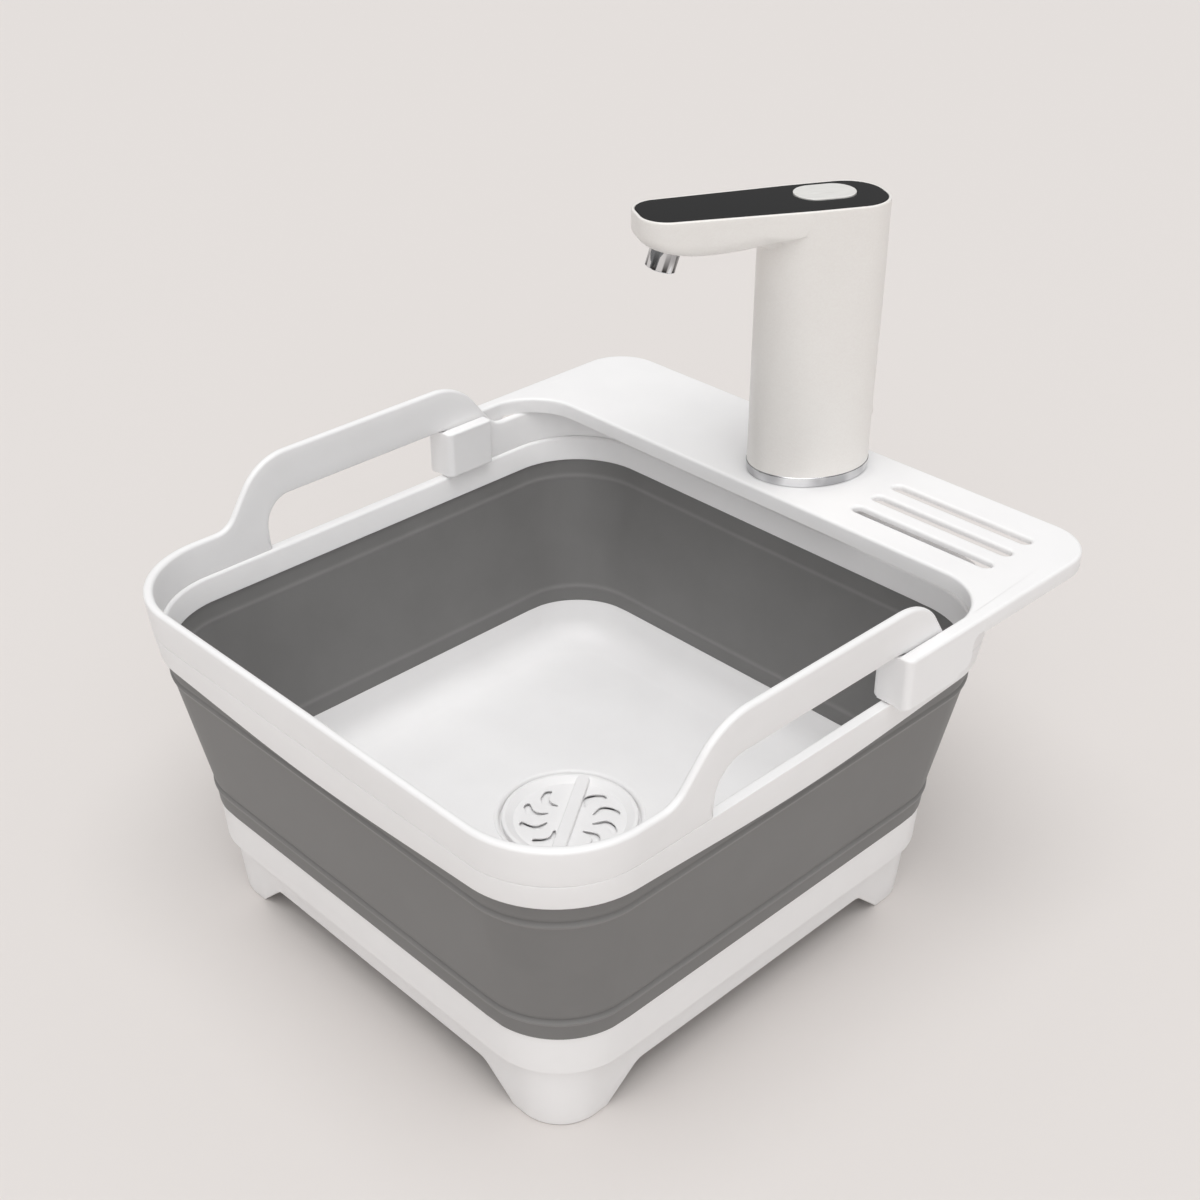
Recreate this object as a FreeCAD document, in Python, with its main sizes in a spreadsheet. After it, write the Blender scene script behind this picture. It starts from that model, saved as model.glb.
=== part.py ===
import FreeCAD, Part
import math
import os

import Sketcher
from FreeCAD import Vector

# Driving dimensions in millimetres and degrees. Insets are measured inwards from the rim's top outline.
SIZES = {
    # plan of the basin: a square with rounded corners
    "rimHalf": 155.0,
    "cornerRadius": 48.0,
    # heights, stacked from the ground up
    "archHeight": 12.5,
    "floorLevel": 40.5,
    "bandHeight": 23.0,
    "footFold": 11.0,
    "wallRise": 65.0,
    "headFold": 8.5,
    "ringTall": 13.0,
    "frameHeight": 18.5,
    "handleRise": 30.5,
    # insets of the outer face between those heights
    "frameInset": 1.5,
    "ringInset": 3.3,
    "wallTopInset": 5.0,
    "upperCreaseInset": 6.2,
    "lowerCreaseInset": 16.8,
    "wallFootInset": 17.8,
    "bandFootInset": 21.8,
    "skirtTopInset": 23.4,
    "skirtFootInset": 25.7,
    # walls of the basin
    "rimThick": 4.0,
    "rimRound": 1.6,
    "ringThick": 5.5,
    "wallThick": 2.6,
    "skirtThick": 3.0,
    "floorThick": 2.5,
    "floorFillet": 16.0,
    "floorLap": 4.0,
    "floorJoin": 44.0,
    "bandGap": 0.35,
    "bandTip": 0.6,
    "bandMargin": 0.2,
    "archMargin": 11.0,
    "archLean": 18.0,
    "archRound": 8.0,
    # handles, one on each side wall
    "handleFoot": 88.0,
    "handleShoulder": 62.0,
    "footFillet": 12.0,
    "shoulderFillet": 25.0,
    "openingHalf": 64.0,
    "openingRise": 7.5,
    "openingRound": 15.0,
    # drain
    "lipRadius": 39.0,
    "lipHeight": 0.8,
    "lipRound": 0.5,
    "wellRadius": 36.3,
    "wellDepth": 4.0,
    "recessRadius": 32.8,
    "recessDepth": 2.0,
    "stemWall": 1.3,
    "stemBore": 30.0,
    "stemLength": 16.5,
    "stemSeat": 0.3,
    "tailRadius": 16.0,
    "tailBore": 13.0,
    "tailTop": 18.0,
    "tailEnd": 6.0,
    "coneWall": 2.5,
    "gasketThick": 1.5,
    "gasketRadius": 43.0,
    "locknutRadius": 45.0,
    "locknutHeight": 6.0,
    "notchRadius": 3.0,
    "valveThick": 1.6,
    "strainerThick": 1.8,
    "strainerHeight": 3.2,
    "strainerLip": 2.6,
    "discGap": 0.3,
    "slotHeadPlace": 23.0,
    "slotHeadRadius": 3.4,
    "slotTailPlace": 13.0,
    "slotTailRadius": 1.2,
    "slotLeadAngle": 46.0,
    "slotAngle": 36.0,
    "pivotRadius": 3.0,
    "pivotHeight": 2.4,
    "pivotFit": 0.05,
    "gripWidth": 7.0,
    "gripAngle": 124.0,
    # shelf
    "shelfOverhang": 8.2,
    "shelfRear": 42.5,
    "shelfLap": 33.5,
    "shelfThick": 8.5,
    "shelfSkin": 3.0,
    "shelfRound": 25.0,
    "shelfBay": 30.0,
    "shelfRib": 4.0,
    "shelfRibInset": 4.5,
    "hollowInset": 11.0,
    "hollowRound": 13.0,
    "armWidth": 7.0,
    "clipTail": 24.0,
    "clipLegTail": 14.0,
    "clipReach": 11.5,
    "clipLegThick": 5.7,
    "clipDrop": 3.0,
    "clipRound": 3.0,
    "clipGap": 0.8,
    "slotLeft": 57.0,
    "slotMargin": 24.7,
    "slotWidth": 6.4,
    "slotPitch": 16.0,
    "slotSetback": 20.0,
    # tap: column, spout and their place on the shelf
    "tapSide": 11.0,
    "tapSetback": 4.6,
    "spoutAngle": 241.5,
    "columnHalf": 32.0,
    "columnRadius": 21.0,
    "tapHeight": 143.2,
    "armHeight": 18.0,
    "armStart": 12.0,
    "armReach": 94.3,
    "armTipHalf": 16.8,
    "armTipRound": 12.0,
    "armSideRound": 88.0,
    "tipLength": 22.0,
    "tapWall": 2.8,
    "armFloor": 2.2,
    "armBayHalf": 13.5,
    "panelThick": 2.5,
    "panelInset": 1.5,
    "panelFit": 0.15,
    "swivelGap": 0.1,
    "ringHeight": 5.5,
    "ringProud": 0.4,
    "ringWall": 1.6,
    "plateFit": 0.1,
    "spigotRadius": 10.0,
    "spigotFit": 0.05,
    "spigotLength": 7.5,
    "inletRadius": 4.0,
    "inletBore": 2.6,
    "inletLength": 24.5,
    "barbShank": 3.4,
    "barbSeat": 6.0,
    "washerThick": 1.0,
    "washerRadius": 15.0,
    "nutRadius": 17.0,
    "nutHeight": 3.4,
    "nutNotch": 2.0,
    "threadFit": 0.1,
    "postRadius": 3.2,
    "postTop": 15.0,
    "screwHeadRadius": 2.6,
    "screwHeadHeight": 1.9,
    "screwShank": 1.4,
    "screwFit": 0.05,
    "screwDepth": 7.0,
    # button and electronics
    "buttonPlace": -2.9,
    "buttonSide": 3.2,
    "buttonHalf": 13.8,
    "buttonRadius": 11.8,
    "buttonProud": 1.2,
    "buttonFit": 0.3,
    "buttonLip": 1.2,
    "lipThick": 1.6,
    "lipGap": 0.2,
    "boardDepth": 9.0,
    "boardThick": 1.6,
    "boardGap": 1.2,
    "bossPitch": 10.2,
    "bossRoot": 0.6,
    "bossRadius": 5.8,
    "bossHeight": 10.0,
    "boardScrewHead": 2.2,
    "boardScrewHeight": 1.4,
    "boardScrewShank": 1.2,
    "boardScrewDepth": 5.0,
    "switchSide": 6.0,
    "switchHeight": 1.6,
    # pump, motor and battery
    "pumpRadius": 16.0,
    "pumpHeight": 11.5,
    "pumpFloor": 2.5,
    "chamberRadius": 13.0,
    "portGap": 0.5,
    "portRadius": 4.5,
    "portSeat": 3.0,
    "portLevel": 5.5,
    "coverThick": 2.5,
    "coverMargin": 0.4,
    "rotorRadius": 12.0,
    "rotorClear": 0.8,
    "rotorDisc": 1.5,
    "vaneHeight": 4.0,
    "vaneThick": 1.4,
    "hubRadius": 3.2,
    "shaftRadius": 1.15,
    "shaftFit": 0.05,
    "hubFit": 0.02,
    "shaftReach": 26.0,
    "motorRadius": 12.2,
    "motorHeight": 30.0,
    "carrierPlate": 2.5,
    "carrierFit": 0.2,
    "sleeveWall": 1.6,
    "sleeveShort": 13.0,
    "cellPlace": -6.0,
    "cellRadius": 9.2,
    "cellFit": 0.25,
    "cellClear": 15.7,
    "cellTipRadius": 3.5,
    "cellTipHeight": 1.5,
    # water path in the spout
    "tubeRadius": 3.0,
    "tubeBore": 2.0,
    "tubeFit": 0.08,
    "tubeRise": 9.5,
    "tubeBend": 8.0,
    "tubeDrop": 5.5,
    "nozzleSetback": 16.0,
    "nozzleAngle": 16.0,
    "nozzleRadius": 7.5,
    "nozzleLength": 11.4,
    "nozzleShank": 6.0,
    "nozzleFit": 0.1,
    "nozzleSocket": 3.8,
    "nozzleThroat": 1.2,
    "mouthRadius": 5.8,
    "sealThick": 0.9,
    "screenThick": 1.5,
    "screenDepth": 1.2,
    "screenHole": 0.7,
    "screenPitch": 3.2,
    # charging socket and its cover, behind the column
    "socketLevel": 30.0,
    "socketHalf": 4.5,
    "socketRadius": 1.7,
    "socketWall": 0.35,
    "socketDepth": 7.4,
    "socketBack": 1.0,
    "socketFit": 0.1,
    "socketSink": 0.4,
    "flapHalf": 6.5,
    "flapRadius": 3.4,
    "flapThick": 1.0,
    "flapGap": 0.2,
}

NOTCHES = 8
HALF_STRAINER_SLOTS = 4
VANES = 6
SHELF_SLOTS = 3
NUT_NOTCHES = 6

doc = FreeCAD.newDocument("camping_sink")
sheet = doc.addObject("Spreadsheet::Sheet", "Sizes")


class Dim:
    """A size that carries both its number and its formula in the sheet."""

    def __init__(self, value, formula):
        self.value = value
        self.formula = formula

    def __add__(self, other):
        other = as_dim(other)
        return Dim(self.value + other.value, f"({self.formula} + {other.formula})")

    def __sub__(self, other):
        other = as_dim(other)
        return Dim(self.value - other.value, f"({self.formula} - {other.formula})")

    def __mul__(self, other):
        other = as_dim(other)
        return Dim(self.value * other.value, f"({self.formula} * {other.formula})")

    def __truediv__(self, other):
        other = as_dim(other)
        return Dim(self.value / other.value, f"({self.formula} / {other.formula})")

    def __neg__(self):
        return Dim(-self.value, f"(-{self.formula})")


def as_dim(size):
    return size if isinstance(size, Dim) else Dim(float(size), str(size))


def tangent(angle):
    return Dim(math.tan(math.radians(angle.value)), f"tan({angle.formula} * 1 deg)")


def fill_sheet():
    """Write every driving dimension into the sheet and hand it back by name."""
    for row, (name, value) in enumerate(SIZES.items(), start=1):
        sheet.set(f"A{row}", name)
        sheet.set(f"B{row}", str(value))
        sheet.setAlias(f"B{row}", name)
    doc.recompute()
    return {name: Dim(float(getattr(sheet, name)), f"Sizes.{name}") for name in SIZES}


s = fill_sheet()
zero = as_dim(0)


# Sketch and feature helpers

def new_body(label, x=None, y=None, z=None, turn=None):
    """A body whose place in the sink is tied to the sheet."""
    body = doc.addObject("PartDesign::Body", label)
    body.Label = label
    for axis, size in (("x", x), ("y", y), ("z", z)):
        if size is not None:
            body.setExpression(f"Placement.Base.{axis}", size.formula)
    if turn is not None:
        body.setExpression("Placement.Rotation.Angle", turn.formula)
    return body


def origin_feature(body, role):
    return [feature for feature in body.Origin.OriginFeatures if feature.Role == role][0]


def new_sketch(body, role, lift=None, shift=None, tilt=None):
    """A sketch on an origin plane, lifted along its normal, shifted and tilted within it."""
    sketch = body.newObject("Sketcher::SketchObject", f"{body.Name}_sketch")
    sketch.AttachmentSupport = [(origin_feature(body, role), "")]
    sketch.MapMode = "FlatFace"
    if lift is not None:
        sketch.setExpression("AttachmentOffset.Base.z", lift.formula)
    if shift is not None:
        sketch.setExpression("AttachmentOffset.Base.x", shift[0].formula)
        sketch.setExpression("AttachmentOffset.Base.y", shift[1].formula)
    if tilt is not None:
        sketch.setExpression("AttachmentOffset.Rotation.Angle", tilt.formula)
    return sketch


def bind(sketch, kind, places, size):
    """Add one dimension to a sketch and tie it to the sheet."""
    index = sketch.addConstraint(Sketcher.Constraint(kind, *places, size.value))
    sketch.setExpression(f"Constraints[{index}]", size.formula)


def pin_point(sketch, geometry, position, u, v):
    bind(sketch, "DistanceX", (-1, 1, geometry, position), as_dim(u))
    bind(sketch, "DistanceY", (-1, 1, geometry, position), as_dim(v))


def arc_between(centre, radius, start, end):
    """The arc from start to end that is shorter than a half turn, and whether it runs backwards."""
    first = math.atan2(start.y - centre.y, start.x - centre.x)
    last = math.atan2(end.y - centre.y, end.x - centre.x)
    backwards = (last - first) % (2 * math.pi) > math.pi
    if backwards:
        first, last = last, first
    circle = Part.Circle(centre, Vector(0, 0, 1), radius)
    return Part.ArcOfCircle(circle, first, last), backwards


def outline(sketch, corners):
    """A closed outline through corners (u, v) or (u, v, radius), with each radius as a tangent arc."""
    sizes = [[as_dim(value) for value in corner] for corner in corners]
    count = len(sizes)
    points = [Vector(size[0].value, size[1].value, 0) for size in sizes]
    leave = list(points)
    reach = list(points)
    arcs = {}
    for i in range(count):
        if len(sizes[i]) < 3:
            continue
        radius = sizes[i][2].value
        back = (points[i - 1] - points[i]).normalize()
        ahead = (points[(i + 1) % count] - points[i]).normalize()
        half = back.getAngle(ahead) / 2
        run = radius / math.tan(half)
        reach[i] = points[i] + back * run
        leave[i] = points[i] + ahead * run
        centre = points[i] + (back + ahead).normalize() * (radius / math.sin(half))
        arcs[i] = arc_between(centre, radius, reach[i], leave[i])
    lines = []
    for i in range(count):
        lines.append(sketch.addGeometry(Part.LineSegment(leave[i], reach[(i + 1) % count]), False))
    for i in range(count):
        before, after = lines[i - 1], lines[i]
        if i not in arcs:
            sketch.addConstraint(Sketcher.Constraint("Coincident", before, 2, after, 1))
            pin_point(sketch, before, 2, *sizes[i])
            continue
        shape, backwards = arcs[i]
        arc = sketch.addGeometry(shape, False)
        first, last = (2, 1) if backwards else (1, 2)
        sketch.addConstraint(Sketcher.Constraint("Tangent", before, 2, arc, first))
        sketch.addConstraint(Sketcher.Constraint("Tangent", arc, last, after, 1))
        bind(sketch, "Radius", (arc,), sizes[i][2])
        corner = sketch.addGeometry(Part.Point(points[i]), True)
        sketch.addConstraint(Sketcher.Constraint("PointOnObject", corner, 1, before))
        sketch.addConstraint(Sketcher.Constraint("PointOnObject", corner, 1, after))
        pin_point(sketch, corner, 1, *sizes[i][:2])


def capsule(sketch, u, v, half, radius, tail=None, far=None):
    """Two arcs and their tangents, lying along u: a slot, or a teardrop with a tail of its own radius."""
    u, v, half, radius = (as_dim(size) for size in (u, v, half, radius))
    tail = tail or radius
    near_u, far_u = (u - (half - radius), u + (half - radius)) if far is None else (u, far)
    lean = math.acos((tail.value - radius.value) / (far_u.value - near_u.value))
    up = Vector(math.cos(lean), math.sin(lean), 0)
    down = Vector(math.cos(lean), -math.sin(lean), 0)
    near = Vector(near_u.value, v.value, 0)
    other = Vector(far_u.value, v.value, 0)
    axis = Vector(0, 0, 1)
    near_arc = Part.ArcOfCircle(Part.Circle(near, axis, tail.value), lean, 2 * math.pi - lean)
    far_arc = Part.ArcOfCircle(Part.Circle(other, axis, radius.value), -lean, lean)
    left = sketch.addGeometry(near_arc, False)
    right = sketch.addGeometry(far_arc, False)
    top = sketch.addGeometry(Part.LineSegment(other + up * radius.value, near + up * tail.value), False)
    foot = near + down * tail.value
    bottom = sketch.addGeometry(Part.LineSegment(foot, other + down * radius.value), False)
    for first, end, second, start in ((right, 2, top, 1), (top, 2, left, 1),
                                      (left, 2, bottom, 1), (bottom, 2, right, 1)):
        sketch.addConstraint(Sketcher.Constraint("Tangent", first, end, second, start))
    bind(sketch, "Radius", (left,), tail)
    bind(sketch, "Radius", (right,), radius)
    pin_point(sketch, left, 3, near_u, v)
    pin_point(sketch, right, 3, far_u, v)


def circle(sketch, u, v, radius):
    radius = as_dim(radius)
    centre = Vector(as_dim(u).value, as_dim(v).value, 0)
    ring = sketch.addGeometry(Part.Circle(centre, Vector(0, 0, 1), radius.value), False)
    bind(sketch, "Radius", (ring,), radius)
    pin_point(sketch, ring, 3, u, v)


def extrude(body, kind, sketch, length, flip=False):
    feature = body.newObject(f"PartDesign::{kind}", f"{body.Name}_{kind.lower()}")
    feature.Profile = sketch
    feature.setExpression("Length", as_dim(length).formula)
    feature.Reversed = flip
    return feature


def pad(body, sketch, length):
    return extrude(body, "Pad", sketch, length)


def cut(body, sketch, length, flip=False):
    """Remove the sketch's outline against its normal, or along it when flipped."""
    return extrude(body, "Pocket", sketch, length, flip)


def spin(body, sketch, axis="V_Axis", angle=360, flip=False):
    feature = body.newObject("PartDesign::Revolution", f"{body.Name}_turned")
    feature.Profile = sketch
    feature.ReferenceAxis = (sketch, [axis])
    feature.Angle = angle
    feature.Reversed = flip
    return feature


def around(body, features, count):
    """Repeat features evenly about the body's upright axis."""
    pattern = body.newObject("PartDesign::PolarPattern", f"{body.Name}_around")
    pattern.Originals = features
    pattern.Axis = (origin_feature(body, "Z_Axis"), [""])
    pattern.Angle = 360
    pattern.Occurrences = count
    body.Tip = pattern
    return pattern


def mirror(body, features, role):
    pattern = body.newObject("PartDesign::Mirrored", f"{body.Name}_mirror")
    pattern.Originals = features
    pattern.MirrorPlane = (origin_feature(body, role), [""])
    body.Tip = pattern
    return pattern


def disc(radius, u=zero, v=zero):
    return circle, [u, v, radius]


def level_outline(body, level, height, *shapes):
    """Pad a sketch drawn by shapes from a level upwards."""
    sketch = new_sketch(body, "XY_Plane", lift=as_dim(level))
    for draw, values in shapes:
        draw(sketch, *values)
    return pad(body, sketch, height)


def level_cut(body, top, depth, *shapes):
    """Cut a sketch drawn by shapes from a level downwards."""
    sketch = new_sketch(body, "XY_Plane", lift=as_dim(top))
    for draw, values in shapes:
        draw(sketch, *values)
    return cut(body, sketch, depth)


# Places worked out from the driving dimensions

floor_under = s["floorLevel"] - s["floorThick"]
wall_foot = s["floorLevel"] + s["bandHeight"]
lower_crease = wall_foot + s["footFold"]
upper_crease = lower_crease + s["wallRise"]
ring_foot = upper_crease + s["headFold"]
frame_foot = ring_foot + s["ringTall"]
rim_top = frame_foot + s["frameHeight"]
handle_top = rim_top + s["handleRise"]
opening_top = rim_top + s["openingRise"]
straight = s["rimHalf"] - s["cornerRadius"]
arch_foot = straight - s["archMargin"]
arch_top = arch_foot - s["archLean"]
shelf_half = s["rimHalf"] + s["shelfOverhang"]
shelf_back = s["rimHalf"] + s["shelfRear"]
shelf_front = s["rimHalf"] - s["shelfLap"]
slot_right = shelf_half - s["slotMargin"]
slot_first = shelf_front + s["slotSetback"]
clip_inner = s["rimHalf"] - s["clipReach"]
clip_back = s["openingHalf"] + s["clipTail"]
clip_leg_back = s["openingHalf"] + s["clipLegTail"]
basin_y = -(shelf_back - s["rimHalf"]) / 2
shelf_top = rim_top + s["shelfThick"]
rim_slope = s["frameInset"] / (rim_top - frame_foot)
wall_slope = (s["lowerCreaseInset"] - s["upperCreaseInset"]) / (upper_crease - lower_crease)
upper_cut = s["clipReach"] + s["bandTip"]
lower_cut = s["lowerCreaseInset"] + s["bandMargin"]
clip_front = s["openingHalf"] - s["openingRound"]
tap_y = basin_y + s["rimHalf"] + s["tapSetback"]
arm_foot = s["tapHeight"] - s["armHeight"]
tip_break = s["armReach"] - s["tipLength"]
nozzle_place = s["armReach"] - s["nozzleSetback"]
tube_level = arm_foot + s["tubeRise"]
board_level = s["tapHeight"] - s["boardDepth"]
panel_foot = s["tapHeight"] - s["panelThick"]
bay_half = s["columnRadius"] - s["tapWall"]
boss_side = bay_half - s["bossRadius"] + s["bossRoot"]
post_reach = bay_half - s["postRadius"] + s["bossRoot"]
post_along = s["columnHalf"] - s["columnRadius"] + post_reach * 0.5
post_across = post_reach * 0.866
port_place = s["pumpRadius"] + s["tubeRadius"] + s["portGap"]
pump_top = s["ringHeight"] + s["pumpHeight"]
cover_top = pump_top + s["coverThick"]
motor_top = cover_top + s["motorHeight"]
cell_foot = motor_top + s["carrierPlate"]
cell_height = board_level - s["cellClear"] - s["cellTipHeight"] - cell_foot
sleeve_height = cell_height - s["sleeveShort"]
nozzle_level = arm_foot + (nozzle_place - tip_break) * tangent(s["nozzleAngle"])
stem_radius = s["wellRadius"] + s["stemWall"]
lip_top = s["floorLevel"] + s["lipHeight"]
well_floor = lip_top - s["wellDepth"]
valve_foot = well_floor - s["recessDepth"]
valve_top = valve_foot + s["valveThick"]


def basin_body(label):
    return new_body(label, y=basin_y)


def tap_body(label):
    return new_body(label, x=s["tapSide"], y=tap_y, z=shelf_top, turn=s["spoutAngle"])


# The basin

def inset_corner(inset, level, *radius):
    return (s["rimHalf"] - inset, level, *radius)


def ring(body, corners):
    """Carry a wall's section round the square basin: four straight sides and four turned corners."""
    sketch = new_sketch(body, "XZ_Plane", lift=-straight)
    outline(sketch, corners)
    foot = Vector(straight.value, 0, 0)
    head = Vector(straight.value, rim_top.value, 0)
    axis = sketch.addGeometry(Part.LineSegment(foot, head), True)
    pin_point(sketch, axis, 1, straight, zero)
    pin_point(sketch, axis, 2, straight, rim_top)
    side = pad(body, sketch, straight * 2)
    corner = spin(body, sketch, "Axis0", 90)
    return around(body, [side, corner], 4)


def arch_outline(sketch):
    outline(sketch, [
        (-arch_foot, zero),
        (arch_foot, zero),
        (arch_top, s["archHeight"], s["archRound"]),
        (-arch_top, s["archHeight"], s["archRound"]),
    ])


def base_tray():
    body = basin_body("base_tray")
    inner_foot = s["bandFootInset"] + s["skirtThick"]
    ring(body, [
        inset_corner(s["wallFootInset"], wall_foot),
        inset_corner(s["wallFootInset"] + s["wallThick"], wall_foot),
        inset_corner(inner_foot, s["floorLevel"], s["floorFillet"]),
        inset_corner(s["floorJoin"], s["floorLevel"]),
        inset_corner(s["floorJoin"], floor_under),
        inset_corner(s["bandFootInset"], floor_under),
    ])
    half = s["rimHalf"] - s["floorJoin"] + s["floorLap"]
    bend = s["cornerRadius"] - s["floorJoin"] + s["floorLap"]
    level_outline(body, floor_under, s["floorThick"], (outline, [[
        (half, half, bend), (-half, half, bend), (-half, -half, bend), (half, -half, bend)]]))
    level_cut(body, s["floorLevel"], s["floorThick"],
              disc(stem_radius + s["stemSeat"]))
    return body


def foot_skirt():
    """Skirt below the tray's step, arched on every side so that it stands on its corners."""
    body = basin_body("foot_skirt")
    ring(body, [
        inset_corner(s["skirtTopInset"], floor_under),
        inset_corner(s["skirtTopInset"] + s["skirtThick"], floor_under),
        inset_corner(s["skirtFootInset"] + s["skirtThick"], zero),
        inset_corner(s["skirtFootInset"], zero),
    ])
    for role in ("XZ_Plane", "YZ_Plane"):
        sketch = new_sketch(body, role, lift=s["rimHalf"])
        arch_outline(sketch)
        cut(body, sketch, s["rimHalf"] * 2)
    return body


def wall_level(inset):
    """Height at which the outer face of the wall's long slope reaches an inset."""
    return upper_crease - (inset - s["upperCreaseInset"]) / wall_slope


def wall_inner(inset):
    """Height at which the inner face of the wall's long slope reaches an inset."""
    return wall_level(inset - s["wallThick"])


def wall_upper_band():
    body = basin_body("wall_upper_band")
    edge = upper_cut - s["bandGap"]
    tip = edge - s["bandTip"]
    ring(body, [
        inset_corner(s["wallTopInset"], ring_foot),
        inset_corner(s["wallTopInset"] + s["wallThick"], ring_foot),
        inset_corner(s["upperCreaseInset"] + s["wallThick"], upper_crease),
        inset_corner(edge, wall_inner(edge)),
        inset_corner(edge, wall_level(tip)),
        inset_corner(tip, wall_level(tip)),
        inset_corner(s["upperCreaseInset"], upper_crease),
    ])
    return body


def wall_middle_band():
    body = basin_body("wall_middle_band")
    outer = upper_cut
    inner = lower_cut - s["bandGap"]
    top = wall_inner(outer + s["bandTip"])
    foot = wall_level(inner - s["bandTip"])
    ring(body, [
        inset_corner(outer, top),
        inset_corner(outer + s["bandTip"], top),
        inset_corner(inner, wall_inner(inner)),
        inset_corner(inner, foot),
        inset_corner(inner - s["bandTip"], foot),
        inset_corner(outer, wall_level(outer)),
    ])
    return body


def wall_lower_band():
    body = basin_body("wall_lower_band")
    foot_slope = (s["wallFootInset"] - s["lowerCreaseInset"]) / (lower_crease - wall_foot)
    top = wall_inner(lower_cut + s["bandTip"])
    ring(body, [
        inset_corner(lower_cut, top),
        inset_corner(lower_cut + s["bandTip"], top),
        inset_corner(s["lowerCreaseInset"] + s["wallThick"], lower_crease),
        inset_corner(s["wallFootInset"] + s["wallThick"], wall_foot),
        inset_corner(s["wallFootInset"], wall_foot),
        inset_corner(lower_cut, lower_crease - s["bandMargin"] / foot_slope),
    ])
    return body


def rim_lower_ring():
    body = basin_body("rim_lower_ring")
    ring(body, [
        inset_corner(s["frameInset"], frame_foot),
        inset_corner(s["frameInset"] + s["ringThick"], frame_foot, s["rimRound"]),
        inset_corner(s["ringInset"] + s["ringThick"], ring_foot),
        inset_corner(s["ringInset"], ring_foot, s["rimRound"]),
    ])
    return body


def rim_frame():
    """Upper frame: its side walls rise into two handles, each with a hand opening cut through."""
    body = basin_body("rim_frame")
    ring(body, [
        inset_corner(zero, rim_top, s["rimRound"]),
        inset_corner(s["rimThick"], rim_top, s["rimRound"]),
        inset_corner(s["frameInset"] + s["rimThick"], frame_foot),
        inset_corner(s["frameInset"], frame_foot),
    ])
    lean = -rim_slope * (handle_top - rim_top)
    sketch = new_sketch(body, "XZ_Plane", lift=-straight)
    outline(sketch, [
        inset_corner(lean, handle_top, s["rimRound"]),
        inset_corner(lean + s["rimThick"], handle_top, s["rimRound"]),
        inset_corner(s["frameInset"] + s["rimThick"], frame_foot),
        inset_corner(s["frameInset"], frame_foot),
    ])
    around(body, [pad(body, sketch, straight * 2)], 2)
    away = s["rimHalf"] + handle_top - rim_top
    sketch = new_sketch(body, "YZ_Plane", lift=away)
    above = handle_top + s["rimThick"]
    for side in (1, -1):
        outline(sketch, [
            (straight * side + side, rim_top),
            (s["handleFoot"] * side, rim_top, s["footFillet"]),
            (s["handleShoulder"] * side, handle_top, s["shoulderFillet"]),
            (s["handleShoulder"] * side - s["shoulderFillet"] * side, handle_top),
            (s["handleShoulder"] * side - s["shoulderFillet"] * side, above),
            (straight * side + side, above),
        ])
    outline(sketch, [
        (-s["openingHalf"], frame_foot),
        (s["openingHalf"], frame_foot),
        (s["openingHalf"], opening_top, s["openingRound"]),
        (-s["openingHalf"], opening_top, s["openingRound"]),
    ])
    cut(body, sketch, away * 2)
    return body


# The drain

def drain_body():
    body = basin_body("drain_body")
    stem_foot = s["floorLevel"] - s["stemLength"]
    sketch = new_sketch(body, "XZ_Plane")
    outline(sketch, [
        (s["wellRadius"], lip_top),
        (s["wellRadius"], well_floor),
        (s["recessRadius"], well_floor),
        (s["recessRadius"], valve_foot),
        (s["stemBore"], valve_foot),
        (s["stemBore"], stem_foot + s["coneWall"]),
        (s["tailBore"], s["tailTop"] + s["coneWall"]),
        (s["tailBore"], s["tailEnd"]),
        (s["tailRadius"], s["tailEnd"]),
        (s["tailRadius"], s["tailTop"]),
        (stem_radius, stem_foot),
        (stem_radius, s["floorLevel"]),
        (s["lipRadius"], s["floorLevel"]),
        (s["lipRadius"], lip_top, s["lipRound"]),
    ])
    spin(body, sketch)
    return body


def drain_gasket():
    body = basin_body("drain_gasket")
    level_outline(body, floor_under - s["gasketThick"], s["gasketThick"],
                  disc(s["gasketRadius"]),
                  disc(stem_radius + s["stemSeat"]))
    return body


def drain_locknut():
    body = basin_body("drain_locknut")
    top = floor_under - s["gasketThick"]
    level_outline(body, top - s["locknutHeight"], s["locknutHeight"],
                  disc(s["locknutRadius"]),
                  disc(stem_radius + s["threadFit"]))
    notch = level_cut(body, top, s["locknutHeight"],
                      disc(s["notchRadius"], s["locknutRadius"], zero))
    around(body, [notch], NOTCHES)
    return body


def strainer_slots(body, top, depth, lead):
    """Teardrop slots with their round heads outwards, as many on each side of the grip bar."""
    slots = []
    for index in range(HALF_STRAINER_SLOTS):
        sketch = new_sketch(body, "XY_Plane", lift=top, tilt=lead + s["slotAngle"] * index)
        capsule(sketch, s["slotTailPlace"], zero, zero, s["slotHeadRadius"],
                s["slotTailRadius"], s["slotHeadPlace"])
        slots.append(cut(body, sketch, depth))
    return around(body, slots, 2)


def valve_plate():
    """Fixed plate below the strainer, whose slots the strainer's solid parts cover until it is turned."""
    body = new_body("valve_plate", y=basin_y, turn=s["gripAngle"])
    level_outline(body, valve_foot, s["valveThick"], disc(s["recessRadius"] - s["discGap"]))
    level_outline(body, valve_foot, s["valveThick"] + s["pivotHeight"], disc(s["pivotRadius"]))
    strainer_slots(body, valve_top, s["valveThick"], s["slotLeadAngle"] + s["slotAngle"] / 2)
    return body


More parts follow.
